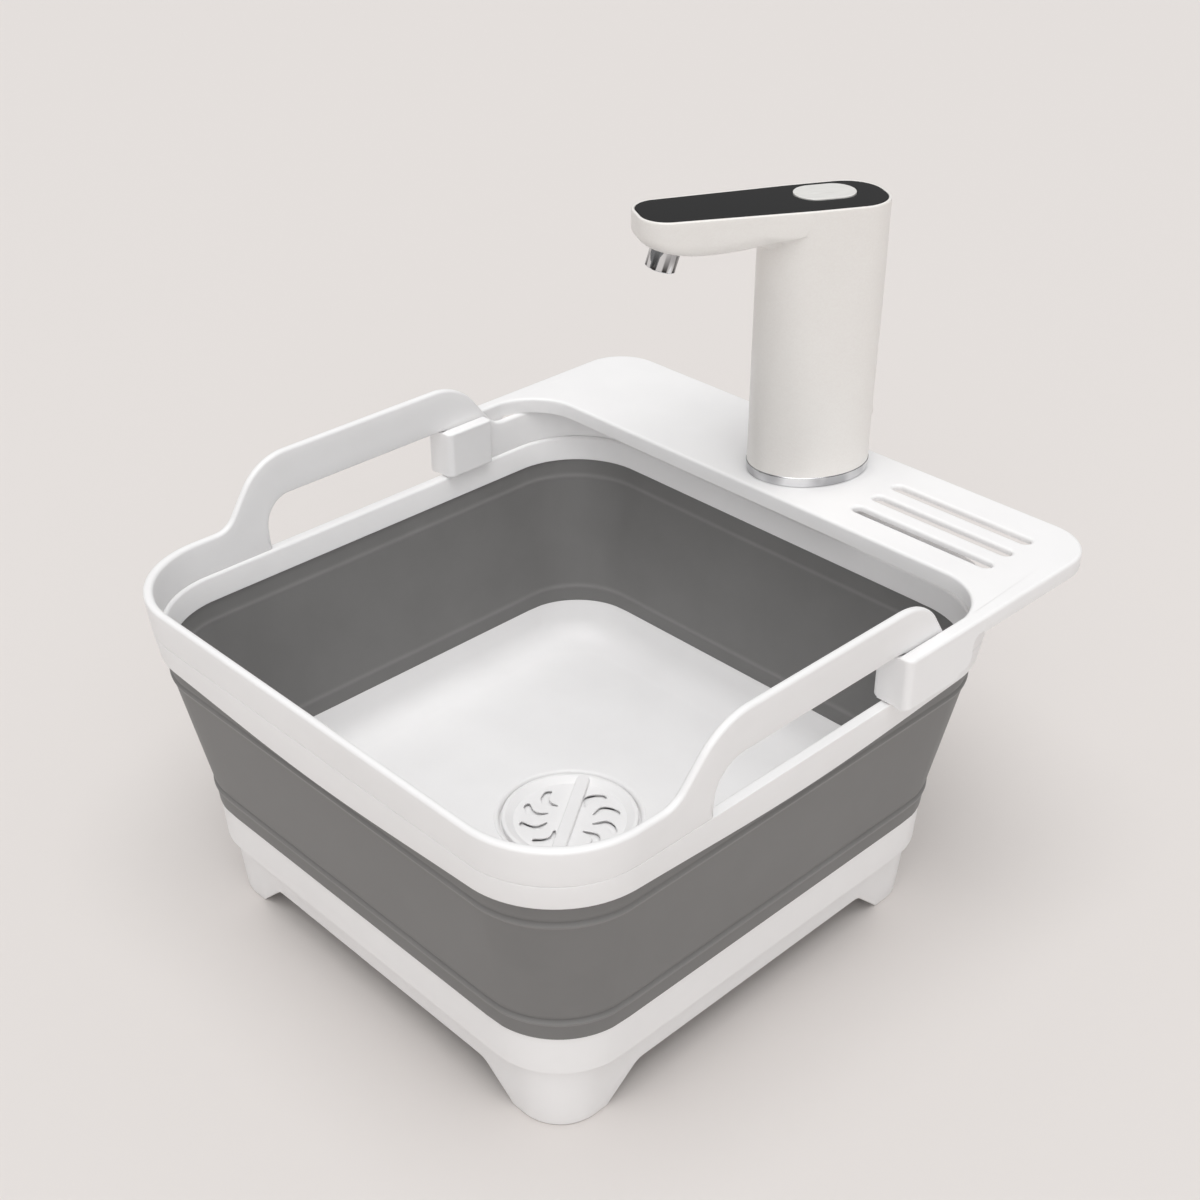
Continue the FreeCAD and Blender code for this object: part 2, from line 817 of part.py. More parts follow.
def strainer_disc():
    body = new_body("strainer_disc", y=basin_y, turn=s["gripAngle"])
    foot = well_floor + s["swivelGap"]
    radius = s["wellRadius"] - s["discGap"]
    level_outline(body, foot, s["strainerThick"], disc(radius))
    level_outline(body, foot, s["strainerHeight"],
                  disc(radius), disc(radius - s["strainerLip"]))
    level_outline(body, foot, s["strainerHeight"],
                  (capsule, [zero, zero, radius - s["strainerLip"] / 2, s["gripWidth"] / 2]))
    strainer_slots(body, foot + s["strainerThick"], s["strainerThick"], s["slotLeadAngle"])
    pivot_top = valve_top + s["pivotHeight"] + s["discGap"]
    level_cut(body, pivot_top, pivot_top - foot, disc(s["pivotRadius"] + s["pivotFit"]))
    return body


# The shelf

def clip_bridge(body, saddle_top):
    """The part of a clip that fills the rounded end of the hand opening and joins the clip's two legs."""
    sketch = new_sketch(body, "YZ_Plane", lift=clip_inner + s["clipRound"])
    corner_y = s["openingHalf"] - s["openingRound"]
    corner_z = opening_top - s["openingRound"]
    reach = s["openingRound"] - s["clipGap"]
    diagonal = reach * math.sqrt(0.5)
    outline(sketch, [
        (clip_front, frame_foot), (corner_y + reach, frame_foot), (corner_y + reach, corner_z),
        (corner_y + diagonal, corner_z + diagonal), (clip_front, saddle_top)])
    return pad(body, sketch, shelf_half - clip_inner - s["clipRound"] * 2)


def shelf():
    """U-shaped deck, hollow underneath between its ribs, with a saddle clip at the end of each arm."""
    body = basin_body("shelf")
    half = shelf_half
    arm = half - s["armWidth"]
    back = shelf_back
    front = shelf_front
    level_outline(body, rim_top, s["shelfThick"], (outline, [[
        (half, clip_front, s["clipRound"]), (half, back, s["shelfRound"]), (-half, back, s["shelfRound"]),
        (-half, clip_front, s["clipRound"]), (-arm, clip_front), (-arm, front, s["shelfBay"]),
        (arm, front, s["shelfBay"]), (arm, clip_front)]]))
    leg = clip_inner + s["clipLegThick"]
    saddle_top = opening_top - s["clipGap"]
    saddle_height = saddle_top - frame_foot
    bend = s["clipRound"]
    inner_leg = level_outline(body, frame_foot, saddle_height, (outline, [[
        (clip_inner, clip_front, bend), (leg, clip_front), (leg, clip_leg_back),
        (clip_inner, clip_leg_back, bend)]]))
    outer_leg = level_outline(body, frame_foot, saddle_height, (outline, [[
        (arm, clip_front), (half, clip_front, bend), (half, clip_back), (arm, clip_back)]]))
    bridge = clip_bridge(body, saddle_top)
    drop = level_outline(body, frame_foot - s["clipDrop"], s["clipDrop"], (outline, [[
        (arm, clip_front), (half, clip_front, bend), (half, clip_leg_back), (arm, clip_leg_back)]]))
    mirror(body, [outer_leg, drop, bridge, inner_leg], "YZ_Plane")
    hollow_front = front + s["shelfRibInset"]
    hollow_back = back - s["shelfRibInset"]
    edge = half - s["hollowInset"]
    left_rib = s["tapSide"] - s["slotLeft"] + s["tapSide"] + s["shelfRib"]
    right_rib = s["slotLeft"] - s["slotWidth"] - s["shelfRib"]
    bay = s["hollowRound"]
    sketch = new_sketch(body, "XY_Plane", lift=rim_top)
    outline(sketch, [(-edge, hollow_front), (left_rib - s["shelfRib"], hollow_front),
                     (left_rib - s["shelfRib"], hollow_back), (-edge, hollow_back, bay)])
    outline(sketch, [(left_rib, hollow_front), (right_rib, hollow_front),
                     (right_rib, hollow_back), (left_rib, hollow_back)])
    outline(sketch, [(right_rib + s["shelfRib"], hollow_front), (edge, hollow_front),
                     (edge, hollow_back, bay), (right_rib + s["shelfRib"], hollow_back)])
    cut(body, sketch, s["shelfThick"] - s["shelfSkin"], flip=True)
    sketch = new_sketch(body, "XY_Plane", lift=shelf_top)
    slot_half = (slot_right - s["slotLeft"]) / 2
    for index in range(SHELF_SLOTS):
        place = slot_first + s["slotPitch"] * index
        capsule(sketch, s["slotLeft"] + slot_half, place, slot_half, s["slotWidth"] / 2)
    circle(sketch, s["tapSide"], s["rimHalf"] + s["tapSetback"], s["spigotRadius"] + s["spigotFit"])
    cut(body, sketch, s["shelfSkin"])
    return body


# The tap, drawn with its spout along +X and its axis upright at the origin

def arm_corners(inset):
    """Plan of the spout, tapering from the column to its rounded tip."""
    root = s["columnRadius"] - inset
    tip = s["armTipHalf"] - inset
    reach = s["armReach"] - inset
    bend = s["armTipRound"] - inset
    return [(zero, -root), (s["armStart"], -root, s["armSideRound"]), (reach, -tip, bend),
            (reach, tip, bend), (s["armStart"], root, s["armSideRound"]), (zero, root)]


def column(inset):
    return (capsule, [zero, zero, s["columnHalf"] - inset, s["columnRadius"] - inset])


def board_points():
    for along in (1, -1):
        for across in (1, -1):
            yield s["bossPitch"] * along, boss_side * across


def post_points():
    for side in (1, -1):
        yield post_along * side, post_across * side


def tap_housing():
    body = tap_body("tap_housing")
    level_outline(body, s["ringHeight"], s["tapHeight"] - s["ringHeight"], column(zero))
    level_outline(body, arm_foot, s["armHeight"], (outline, [arm_corners(zero)]))
    tip_rise = (s["armReach"] - tip_break) * tangent(s["nozzleAngle"])
    sketch = new_sketch(body, "XZ_Plane", lift=s["columnRadius"])
    reach = s["armReach"]
    outline(sketch, [(tip_break, arm_foot), (reach, arm_foot), (reach, arm_foot + tip_rise)])
    cut(body, sketch, s["columnRadius"] * 2)
    level_cut(body, s["tapHeight"], s["tapHeight"] - s["ringHeight"], column(s["tapWall"]))
    bay_end = s["armReach"] - s["tapWall"]
    bay_floor = arm_foot + s["armFloor"]
    sketch = new_sketch(body, "XZ_Plane", lift=s["armBayHalf"])
    outline(sketch, [
        (zero, bay_floor), (tip_break, bay_floor),
        (bay_end, bay_floor + (bay_end - tip_break) * tangent(s["nozzleAngle"])),
        (bay_end, s["tapHeight"]), (zero, s["tapHeight"])])
    cut(body, sketch, s["armBayHalf"] * 2)
    level_cut(body, s["tapHeight"], s["panelThick"], column(s["panelInset"]))
    level_cut(body, s["tapHeight"], s["panelThick"], (outline, [arm_corners(s["panelInset"])]))
    boss_foot = board_level - s["bossHeight"]
    for x, y in board_points():
        level_outline(body, boss_foot, s["bossHeight"], disc(s["bossRadius"], x, y))
        level_cut(body, board_level, s["boardScrewDepth"],
                  disc(s["boardScrewShank"] + s["screwFit"], x, y))
    for x, y in post_points():
        level_outline(body, s["ringHeight"], s["postTop"] - s["ringHeight"],
                      disc(s["postRadius"], x, y))
        level_cut(body, s["ringHeight"] + s["screwDepth"], s["screwDepth"],
                  disc(s["screwShank"] + s["screwFit"], x, y))
    sketch = new_sketch(body, "YZ_Plane", lift=-s["columnHalf"])
    capsule(sketch, zero, s["socketLevel"],
            s["socketHalf"] + s["socketFit"], s["socketRadius"] + s["socketFit"])
    cut(body, sketch, s["tapWall"] + s["socketRadius"], flip=True)
    sketch = new_sketch(body, "XZ_Plane", shift=(nozzle_place, nozzle_level), tilt=s["nozzleAngle"])
    bore = s["nozzleShank"] + s["nozzleFit"]
    low = -s["armFloor"]
    high = s["armFloor"] * 2
    outline(sketch, [(zero, low), (bore, low), (bore, high), (zero, high)])
    groove = body.newObject("PartDesign::Groove", "nozzle_hole")
    groove.Profile = sketch
    groove.ReferenceAxis = (sketch, ["V_Axis"])
    groove.Angle = 360
    return body


def button_outline(margin):
    return capsule, [s["buttonPlace"], -s["buttonSide"],
                     s["buttonHalf"] + margin, s["buttonRadius"] + margin]


def top_panel():
    body = tap_body("top_panel")
    inset = s["panelInset"] + s["panelFit"]
    level_outline(body, panel_foot, s["panelThick"], column(inset))
    level_outline(body, panel_foot, s["panelThick"], (outline, [arm_corners(inset)]))
    level_cut(body, s["tapHeight"], s["panelThick"],
              button_outline(s["buttonFit"]))
    return body


def power_button():
    body = tap_body("power_button")
    lip_top = panel_foot - s["lipGap"]
    level_outline(body, lip_top, s["tapHeight"] + s["buttonProud"] - lip_top,
                  button_outline(zero))
    level_outline(body, lip_top - s["lipThick"], s["lipThick"],
                  button_outline(s["buttonLip"]))
    return body


def control_board():
    body = tap_body("control_board")
    level_outline(body, board_level, s["boardThick"],
                  column(s["tapWall"] + s["boardGap"]))
    half = s["tubeRadius"] + s["boardGap"]
    top = board_level + s["boardThick"]
    level_cut(body, top, s["boardThick"], (outline, [[
        (s["columnHalf"], -half), (s["columnHalf"], half),
        (port_place - half, half), (port_place - half, -half)]]))
    for x, y in board_points():
        level_cut(body, top, s["boardThick"], disc(s["boardScrewShank"] + s["screwFit"], x, y))
    return body


def board_screws():
    body = tap_body("board_screws")
    top = board_level + s["boardThick"]
    foot = board_level - s["boardScrewDepth"]
    for x, y in board_points():
        level_outline(body, foot, top - foot, disc(s["boardScrewShank"], x, y))
        level_outline(body, top, s["boardScrewHeight"], disc(s["boardScrewHead"], x, y))
    return body


def tact_switch():
    body = tap_body("tact_switch")
    half = s["switchSide"] / 2
    x = s["buttonPlace"]
    y = -s["buttonSide"]
    level_outline(body, board_level + s["boardThick"], s["switchHeight"], (outline, [[
        (x + half, y + half), (x - half, y + half), (x - half, y - half), (x + half, y - half)]]))
    return body


def base_ring():
    body = tap_body("base_ring")
    level_outline(body, s["swivelGap"], s["ringHeight"] - s["swivelGap"],
                  column(-s["ringProud"]), column(s["ringWall"]))
    return body


def base_plate():
    """Foot of the tap: closes the column, and turns in the shelf on its spigot."""
    body = tap_body("base_plate")
    thick = s["ringHeight"] - s["swivelGap"]
    level_outline(body, s["swivelGap"], thick, column(s["ringWall"] + s["plateFit"]))
    level_outline(body, -s["spigotLength"], s["spigotLength"] + s["ringHeight"], disc(s["spigotRadius"]))
    level_cut(body, s["ringHeight"], s["ringHeight"] + s["spigotLength"], disc(s["inletBore"]))
    level_cut(body, s["barbSeat"] - s["spigotLength"], s["barbSeat"],
              disc(s["barbShank"] + s["plateFit"]))
    for x, y in post_points():
        level_cut(body, s["ringHeight"], s["ringHeight"], disc(s["screwShank"] + s["screwFit"], x, y))
        level_cut(body, s["swivelGap"] * 2 + s["screwHeadHeight"], s["swivelGap"] + s["screwHeadHeight"],
                  disc(s["screwHeadRadius"] + s["plateFit"], x, y))
    return body


def hose_barb():
    body = tap_body("hose_barb")
    length = s["inletLength"]
    foot = -s["spigotLength"] - length
    level_outline(body, foot, length, disc(s["inletRadius"]))
    level_outline(body, -s["spigotLength"], s["barbSeat"], disc(s["barbShank"]))
    level_cut(body, s["barbSeat"] - s["spigotLength"], length + s["barbSeat"], disc(s["inletBore"]))
    return body


def base_screws():
    body = tap_body("base_screws")
    seat = s["swivelGap"] * 2 + s["screwHeadHeight"]
    for x, y in post_points():
        level_outline(body, seat - s["screwHeadHeight"], s["screwHeadHeight"],
                      disc(s["screwHeadRadius"], x, y))
        level_outline(body, seat, s["ringHeight"] + s["screwDepth"] - seat,
                      disc(s["screwShank"], x, y))
    return body


def tap_washer():
    body = tap_body("tap_washer")
    top = -s["shelfSkin"] - s["swivelGap"]
    level_outline(body, top - s["washerThick"], s["washerThick"],
                  disc(s["washerRadius"]),
                  disc(s["spigotRadius"] + s["threadFit"]))
    return body


def tap_locknut():
    body = tap_body("tap_locknut")
    top = -s["shelfSkin"] - s["swivelGap"] - s["washerThick"]
    level_outline(body, top - s["nutHeight"], s["nutHeight"],
                  disc(s["nutRadius"]),
                  disc(s["spigotRadius"] + s["threadFit"]))
    notch = level_cut(body, top, s["nutHeight"], disc(s["nutNotch"], s["nutRadius"], zero))
    around(body, [notch], NUT_NOTCHES)
    return body


# Pump, motor and battery, stacked on the base plate inside the column

def pump_housing():
    body = tap_body("pump_housing")
    foot = s["ringHeight"]
    port = port_place
    level_outline(body, foot, s["pumpHeight"], disc(s["pumpRadius"]))
    level_outline(body, foot, s["pumpHeight"], disc(s["portRadius"], port, zero))
    level_cut(body, pump_top, s["pumpHeight"] - s["pumpFloor"], disc(s["chamberRadius"]))
    level_cut(body, pump_top, s["pumpHeight"], disc(s["inletBore"]))
    level_cut(body, pump_top, s["portSeat"], disc(s["tubeRadius"] + s["tubeFit"], port, zero))
    level_cut(body, pump_top, s["pumpHeight"] - s["pumpFloor"], disc(s["tubeBore"], port, zero))
    sketch = new_sketch(body, "YZ_Plane", lift=port)
    circle(sketch, zero, foot + s["portLevel"], s["tubeBore"])
    cut(body, sketch, port)
    return body


def pump_cover():
    body = tap_body("pump_cover")
    level_outline(body, pump_top, s["coverThick"],
                  disc(s["pumpRadius"] - s["coverMargin"]),
                  disc(s["shaftRadius"] + s["shaftFit"]))
    return body


rotor_foot = s["ringHeight"] + s["pumpFloor"] + s["rotorClear"]


def impeller():
    body = tap_body("impeller")
    level_outline(body, rotor_foot, s["rotorDisc"], disc(s["rotorRadius"]))
    level_outline(body, rotor_foot, s["rotorDisc"] + s["vaneHeight"], disc(s["hubRadius"]))
    half = s["vaneThick"] / 2
    vane = level_outline(body, rotor_foot, s["rotorDisc"] + s["vaneHeight"], (outline, [[
        (s["hubRadius"] / 2, -half), (s["rotorRadius"] - half, -half),
        (s["rotorRadius"] - half, half), (s["hubRadius"] / 2, half)]]))
    around(body, [vane], VANES)
    level_cut(body, rotor_foot + s["rotorDisc"] + s["vaneHeight"], s["rotorDisc"] + s["vaneHeight"],
              disc(s["shaftRadius"] + s["hubFit"]))
    return body


def motor_shaft():
    body = tap_body("motor_shaft")
    level_outline(body, rotor_foot, cover_top + s["shaftReach"] - rotor_foot, disc(s["shaftRadius"]))
    return body


def pump_motor():
    body = tap_body("pump_motor")
    level_outline(body, cover_top, s["motorHeight"], disc(s["motorRadius"]))
    depth = s["shaftReach"] + s["rotorClear"]
    level_cut(body, cover_top + depth, depth, disc(s["shaftRadius"] + s["shaftFit"]))
    return body


def battery_carrier():
    body = tap_body("battery_carrier")
    bore = s["cellRadius"] + s["cellFit"]
    level_outline(body, motor_top, s["carrierPlate"], column(s["tapWall"] + s["carrierFit"]))
    level_outline(body, cell_foot, sleeve_height,
                  disc(bore + s["sleeveWall"], s["cellPlace"], zero), disc(bore, s["cellPlace"], zero))
    level_cut(body, cell_foot, s["carrierPlate"],
              disc(s["tubeRadius"] + s["carrierFit"], port_place, zero))
    return body


def battery_cell():
    body = tap_body("battery_cell")
    level_outline(body, cell_foot, cell_height, disc(s["cellRadius"], s["cellPlace"], zero))
    level_outline(body, cell_foot + cell_height, s["cellTipHeight"],
                  disc(s["cellTipRadius"], s["cellPlace"], zero))
    return body


# Water path: riser tube, nozzle, its seal and screen

def nozzle_point(up):
    """A point on the nozzle's axis, up along it from the spout's underside."""
    lean = math.radians(s["nozzleAngle"].value)
    return Vector(nozzle_place.value - up * math.sin(lean), 0, nozzle_level.value + up * math.cos(lean))


def riser_tube():
    """One hose: up the column, forward along the spout and down into the nozzle, with tangent bends."""
    lean = math.radians(s["nozzleAngle"].value)
    rise = (tube_level.value - nozzle_level.value) / math.cos(lean)
    route = [
        Vector(port_place.value, 0, (pump_top - s["portSeat"]).value),
        Vector(port_place.value, 0, tube_level.value),
        nozzle_point(rise),
        nozzle_point((s["armFloor"] - s["nozzleSocket"]).value),
    ]
    edges = []
    start = route[0]
    for index, radius in ((1, s["tubeBend"].value), (2, s["tubeDrop"].value)):
        back = (route[index - 1] - route[index]).normalize()
        ahead = (route[index + 1] - route[index]).normalize()
        half = back.getAngle(ahead) / 2
        near = route[index] + back * (radius / math.tan(half))
        far = route[index] + ahead * (radius / math.tan(half))
        middle = (back + ahead).normalize()
        apex = route[index] + middle * (radius / math.sin(half) - radius)
        edges.append(Part.LineSegment(start, near).toShape())
        edges.append(Part.Arc(near, apex, far).toShape())
        start = far
    edges.append(Part.LineSegment(start, route[3]).toShape())
    path = Part.Wire(edges)
    solids = []
    for radius in (s["tubeRadius"].value, s["tubeBore"].value):
        section = Part.Wire(Part.Circle(route[0], Vector(0, 0, 1), radius).toShape())
        solids.append(path.makePipeShell([section], True, False))
    tube = doc.addObject("Part::Feature", "riser_tube")
    tube.Label = "riser_tube"
    tube.Shape = solids[0].cut(solids[1])
    tube.setExpression("Placement.Base.x", s["tapSide"].formula)
    tube.setExpression("Placement.Base.y", tap_y.formula)
    tube.setExpression("Placement.Base.z", shelf_top.formula)
    tube.setExpression("Placement.Rotation.Angle", s["spoutAngle"].formula)
    return tube


def nozzle_sketch(body):
    return new_sketch(body, "XZ_Plane", shift=(nozzle_place, nozzle_level), tilt=s["nozzleAngle"])


def nozzle():
    body = tap_body("nozzle")
    sketch = nozzle_sketch(body)
    seat = s["armFloor"] - s["nozzleSocket"]
    socket = s["tubeRadius"] + s["tubeFit"]
    chamber = seat - s["nozzleThroat"]
    mouth = -s["sealThick"] - s["nozzleLength"]
    outline(sketch, [
        (s["nozzleShank"], s["armFloor"]), (socket, s["armFloor"]), (socket, seat), (s["tubeBore"], seat),
        (s["tubeBore"], chamber), (s["mouthRadius"], chamber), (s["mouthRadius"], mouth),
        (s["nozzleRadius"], mouth), (s["nozzleRadius"], -s["sealThick"]),
        (s["nozzleShank"], -s["sealThick"])])
    spin(body, sketch)
    return body


def nozzle_seal():
    body = tap_body("nozzle_seal")
    sketch = nozzle_sketch(body)
    inner = s["nozzleShank"] + s["nozzleFit"]
    outer = s["nozzleRadius"] - s["nozzleFit"]
    outline(sketch, [(inner, zero), (inner, -s["sealThick"]), (outer, -s["sealThick"]), (outer, zero)])
    spin(body, sketch)
    return body


def aerator_screen():
    """Perforated disc just inside the nozzle's mouth."""
    body = tap_body("aerator_screen")
    sketch = nozzle_sketch(body)
    foot = -s["sealThick"] - s["nozzleLength"] + s["screenDepth"]
    top = foot + s["screenThick"]
    rim = s["mouthRadius"] - s["nozzleFit"]
    inner = s["screenPitch"] - s["screenHole"]
    outer = s["screenPitch"] + s["screenHole"]
    outline(sketch, [(zero, foot), (inner, foot), (inner, top), (zero, top)])
    spin(body, sketch)
    sketch = nozzle_sketch(body)
    outline(sketch, [(outer, foot), (rim, foot), (rim, top), (outer, top)])
    spin(body, sketch)
    sketch = nozzle_sketch(body)
    half = s["screenHole"]
    outline(sketch, [(-rim + half, foot), (rim - half, foot), (rim - half, top), (-rim + half, top)])
    bar = pad(body, sketch, s["screenHole"])
    bar.SideType = "Symmetric"
    return body


# Charging socket and its hinged cover

def charge_socket():
    body = tap_body("charge_socket")
    mouth = -s["columnHalf"] + s["socketSink"]
    sketch = new_sketch(body, "YZ_Plane", lift=mouth)
    capsule(sketch, zero, s["socketLevel"], s["socketHalf"], s["socketRadius"])
    pad(body, sketch, s["socketDepth"])
    sketch = new_sketch(body, "YZ_Plane", lift=mouth)
    capsule(sketch, zero, s["socketLevel"],
            s["socketHalf"] - s["socketWall"], s["socketRadius"] - s["socketWall"])
    cut(body, sketch, s["socketDepth"] - s["socketBack"], flip=True)
    return body


def port_cover():
    body = tap_body("port_cover")
    sketch = new_sketch(body, "YZ_Plane", lift=-s["columnHalf"] - s["flapGap"] - s["flapThick"])
    capsule(sketch, zero, s["socketLevel"], s["flapHalf"], s["flapRadius"])
    pad(body, sketch, s["flapThick"])
    return body


pieces = [
    base_tray(), foot_skirt(), wall_lower_band(), wall_middle_band(), wall_upper_band(),
    rim_lower_ring(), rim_frame(),
    drain_body(), drain_gasket(), drain_locknut(), valve_plate(), strainer_disc(),
    shelf(),
    tap_housing(), top_panel(), power_button(), control_board(), board_screws(), tact_switch(),
    base_ring(), base_plate(), hose_barb(), base_screws(), tap_washer(), tap_locknut(),
    pump_housing(), pump_cover(), impeller(), motor_shaft(), pump_motor(), battery_carrier(), battery_cell(),
    riser_tube(), nozzle(), nozzle_seal(), aerator_screen(),
    charge_socket(), port_cover(),
]

doc.recompute()

faults = [item.Label for item in doc.Objects if "Invalid" in item.State or "Error" in item.State]
for piece in pieces:
    if piece.Shape.isNull() or not piece.Shape.isValid():
        faults.append(piece.Label)
if faults:
    raise RuntimeError("these did not build: " + ", ".join(faults))

os.makedirs("parts", exist_ok=True)
for piece in pieces:
    piece.Shape.exportStep(os.path.join("parts", piece.Label + ".step"))
    print(piece.Label, len(piece.Shape.Solids), round(piece.Shape.Volume / 1000, 2), "cm3")
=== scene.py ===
import math

import bpy
import numpy as np
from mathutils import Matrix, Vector
from mathutils.geometry import delaunay_2d_cdt


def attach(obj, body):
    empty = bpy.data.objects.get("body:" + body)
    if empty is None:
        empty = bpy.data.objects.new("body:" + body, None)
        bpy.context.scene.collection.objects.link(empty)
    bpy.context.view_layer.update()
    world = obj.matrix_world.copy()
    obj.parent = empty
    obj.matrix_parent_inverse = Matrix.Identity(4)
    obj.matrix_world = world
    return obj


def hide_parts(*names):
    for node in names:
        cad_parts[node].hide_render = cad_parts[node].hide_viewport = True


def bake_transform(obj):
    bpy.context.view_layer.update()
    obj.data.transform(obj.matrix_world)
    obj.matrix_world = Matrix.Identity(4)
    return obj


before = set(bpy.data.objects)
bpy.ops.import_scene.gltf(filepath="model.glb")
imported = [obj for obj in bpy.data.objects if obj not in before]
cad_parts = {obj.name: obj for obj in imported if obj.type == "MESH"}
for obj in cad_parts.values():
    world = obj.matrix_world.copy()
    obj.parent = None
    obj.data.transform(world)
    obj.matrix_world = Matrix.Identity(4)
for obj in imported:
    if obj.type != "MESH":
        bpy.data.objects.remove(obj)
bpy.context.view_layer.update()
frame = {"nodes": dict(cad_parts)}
print("frame loaded:", len(frame["nodes"]), "nodes")

mm = 0.001
quarterTurn = math.pi / 2
sharpAngle = math.radians(32)
sameSpot = 1e-6
fillTolerance = 1e-7


def pick(settings, names):
    # the named values of a settings dictionary, in the order of the names
    return [settings[name] for name in names.split()]


# Materials

def linear(code):
    # sRGB hex to linear light: each channel c becomes ((c + 0.055) / 1.055) ** 2.4, or c / 12.92 when dark
    parts = [int(code[i:i + 2], 16) / 255 for i in (1, 3, 5)]
    return [c / 12.92 if c <= 0.04045 else ((c + 0.055) / 1.055) ** 2.4 for c in parts] + [1.0]


def join(tree, source, node, key):
    # links a socket, or the first output of a node, to an input of another node
    tree.links.new(source.outputs[0] if isinstance(source, bpy.types.Node) else source, node.inputs[key])


def addNode(tree, kind, settings=None, links=None):
    # one node, with its settings by socket or property name, and its links by input socket
    node = tree.nodes.new(kind)
    for key, value in (settings or {}).items():
        if isinstance(key, int) or key in node.inputs:
            node.inputs[key].default_value = value
        else:
            setattr(node, key, value)
    for key, source in (links or {}).items():
        join(tree, source, node, key)
    return node


def newFinish(name, recipe, look):
    # a material with one Principled shader, whose patterns the recipe lays out in object coordinates
    material = bpy.data.materials.new(name)
    material.use_nodes = True
    tree = material.node_tree
    tree.nodes.clear()
    shader = addNode(tree, "ShaderNodeBsdfPrincipled", look["shader"])
    addNode(tree, "ShaderNodeOutputMaterial", links={"Surface": shader})
    recipe(tree, shader, addNode(tree, "ShaderNodeTexCoord").outputs["Object"], look)
    return material


def speckle(tree, coords, sizeMm, detail=2.0):
    # noise whose blotches are about sizeMm across
    settings = {"Scale": 1 / (sizeMm * mm), "Detail": detail}
    return addNode(tree, "ShaderNodeTexNoise", settings, {"Vector": coords})


def rampBetween(tree, factor, look, low, high):
    # a colour that runs from dark to light as the factor goes from low to high
    ramp = addNode(tree, "ShaderNodeValToRGB", links={"Fac": factor})
    for element, place, shade in zip(ramp.color_ramp.elements, (low, high), ("dark", "light")):
        element.position = place
        element.color = linear(look[shade])
    return ramp


def tintBetween(tree, shader, factor, look, low=0.35, high=0.65):
    # such a ramp as the shader's colour
    colour = rampBetween(tree, factor, look, low, high)
    join(tree, colour, shader, "Base Color")
    return colour


def glossBetween(tree, shader, factor, look):
    # the roughness runs from smooth to dull with the factor
    ends = {"To Min": look["smooth"], "To Max": look["dull"]}
    join(tree, addNode(tree, "ShaderNodeMapRange", ends, {"Value": factor}), shader, "Roughness")


def relief(tree, shader, factor, look):
    # a bump whose full height is the look's depth in millimetres
    size = {"Distance": look["deep"] * mm, "Strength": 1.0}
    join(tree, addNode(tree, "ShaderNodeBump", size, {"Height": factor}), shader, "Normal")


whitePlastic = dict(
    light="#f7f6f6", dark="#f4f3f3", cloudMm=45, detail=3, grainMm=1.1, deep=0.012, smooth=0.34, dull=0.46,
    shader={"IOR": 1.49, "Subsurface Weight": 0.04, "Subsurface Radius": (0.003, 0.003, 0.003)})


def moulded(tree, shader, coords, look):
    # polypropylene from a spark-eroded mould: satin, with a fine even grain and faint cloudy flow marks
    cloud = speckle(tree, coords, look["cloudMm"], look["detail"])
    glossBetween(tree, shader, cloud, look)
    relief(tree, shader, speckle(tree, coords, look["grainMm"]), look)  # coarser than real grain, to show
    return tintBetween(tree, shader, cloud, look)


greyRubber = dict(
    light="#787776", dark="#747372", cloudMm=30, detail=4, grainMm=1.4, deep=0.02, smooth=0.5, dull=0.64,
    shader={"IOR": 1.5, "Sheen Weight": 0.08, "Sheen Roughness": 0.5})


def softGrey(tree, shader, coords, look):
    # thermoplastic elastomer: matt and a little dusty, with painted shade darker in the outer creases and
    # painted highlights paler on the beads and ridges
    colour = moulded(tree, shader, coords, look)
    # the fold attribute carries painted shade in the creases and painted highlights on the beads and inner
    # ridges
    folds = addNode(tree, "ShaderNodeAttribute", {"attribute_name": "fold"}).outputs["Color"]
    shadedFolds = addNode(tree, "ShaderNodeMixRGB", {"blend_type": "MULTIPLY", "Fac": 1.0},
                     {"Color1": colour, "Color2": folds})
    join(tree, shadedFolds, shader, "Base Color")


pearlPaint = dict(
    light="#f6f3ef", dark="#f2eeea", flakeMm=0.7, flakeShare=0.5, cloudMm=60, deep=0.001,
    shader={"IOR": 1.5, "Metallic": 0.03, "Roughness": 0.36, "Coat Weight": 0.25, "Coat Roughness": 0.12})


def pearl(tree, shader, coords, look):
    # ABS sprayed with pearl lacquer: fine bright flakes under a smooth clear coat
    flakes = addNode(tree, "ShaderNodeTexVoronoi", {"Scale": 1 / (look["flakeMm"] * mm)}, {"Vector": coords})
    both = addNode(tree, "ShaderNodeMath", {"operation": "MULTIPLY_ADD", 1: look["flakeShare"]},
                   {0: flakes.outputs["Color"], 2: speckle(tree, coords, look["cloudMm"])})
    tintBetween(tree, shader, both, look, 0.4, 1.0)
    relief(tree, shader, flakes.outputs["Distance"], look)


blackPanel = dict(markMm=2.0, markStretch=0.12, smooth=0.05, dull=0.16,
                  shader={"IOR": 1.42, "Specular IOR Level": 0.22, "Base Color": linear("#0a0a0b")})


def acrylic(tree, shader, coords, look):
    # black acrylic: a deep gloss with hair-fine wiping marks
    wiped = addNode(tree, "ShaderNodeMapping", {"Scale": (1.0, look["markStretch"], 1.0)}, {"Vector": coords})
    glossBetween(tree, shader, speckle(tree, wiped, look["markMm"], 4), look)


brushedButton = dict(light="#f2f1ee", dark="#e6e4e0", lineMm=(9, 0.6, 0.6), deep=0.008,
                     turn=math.radians(241.5), shader={"Metallic": 0.12, "Roughness": 0.34})


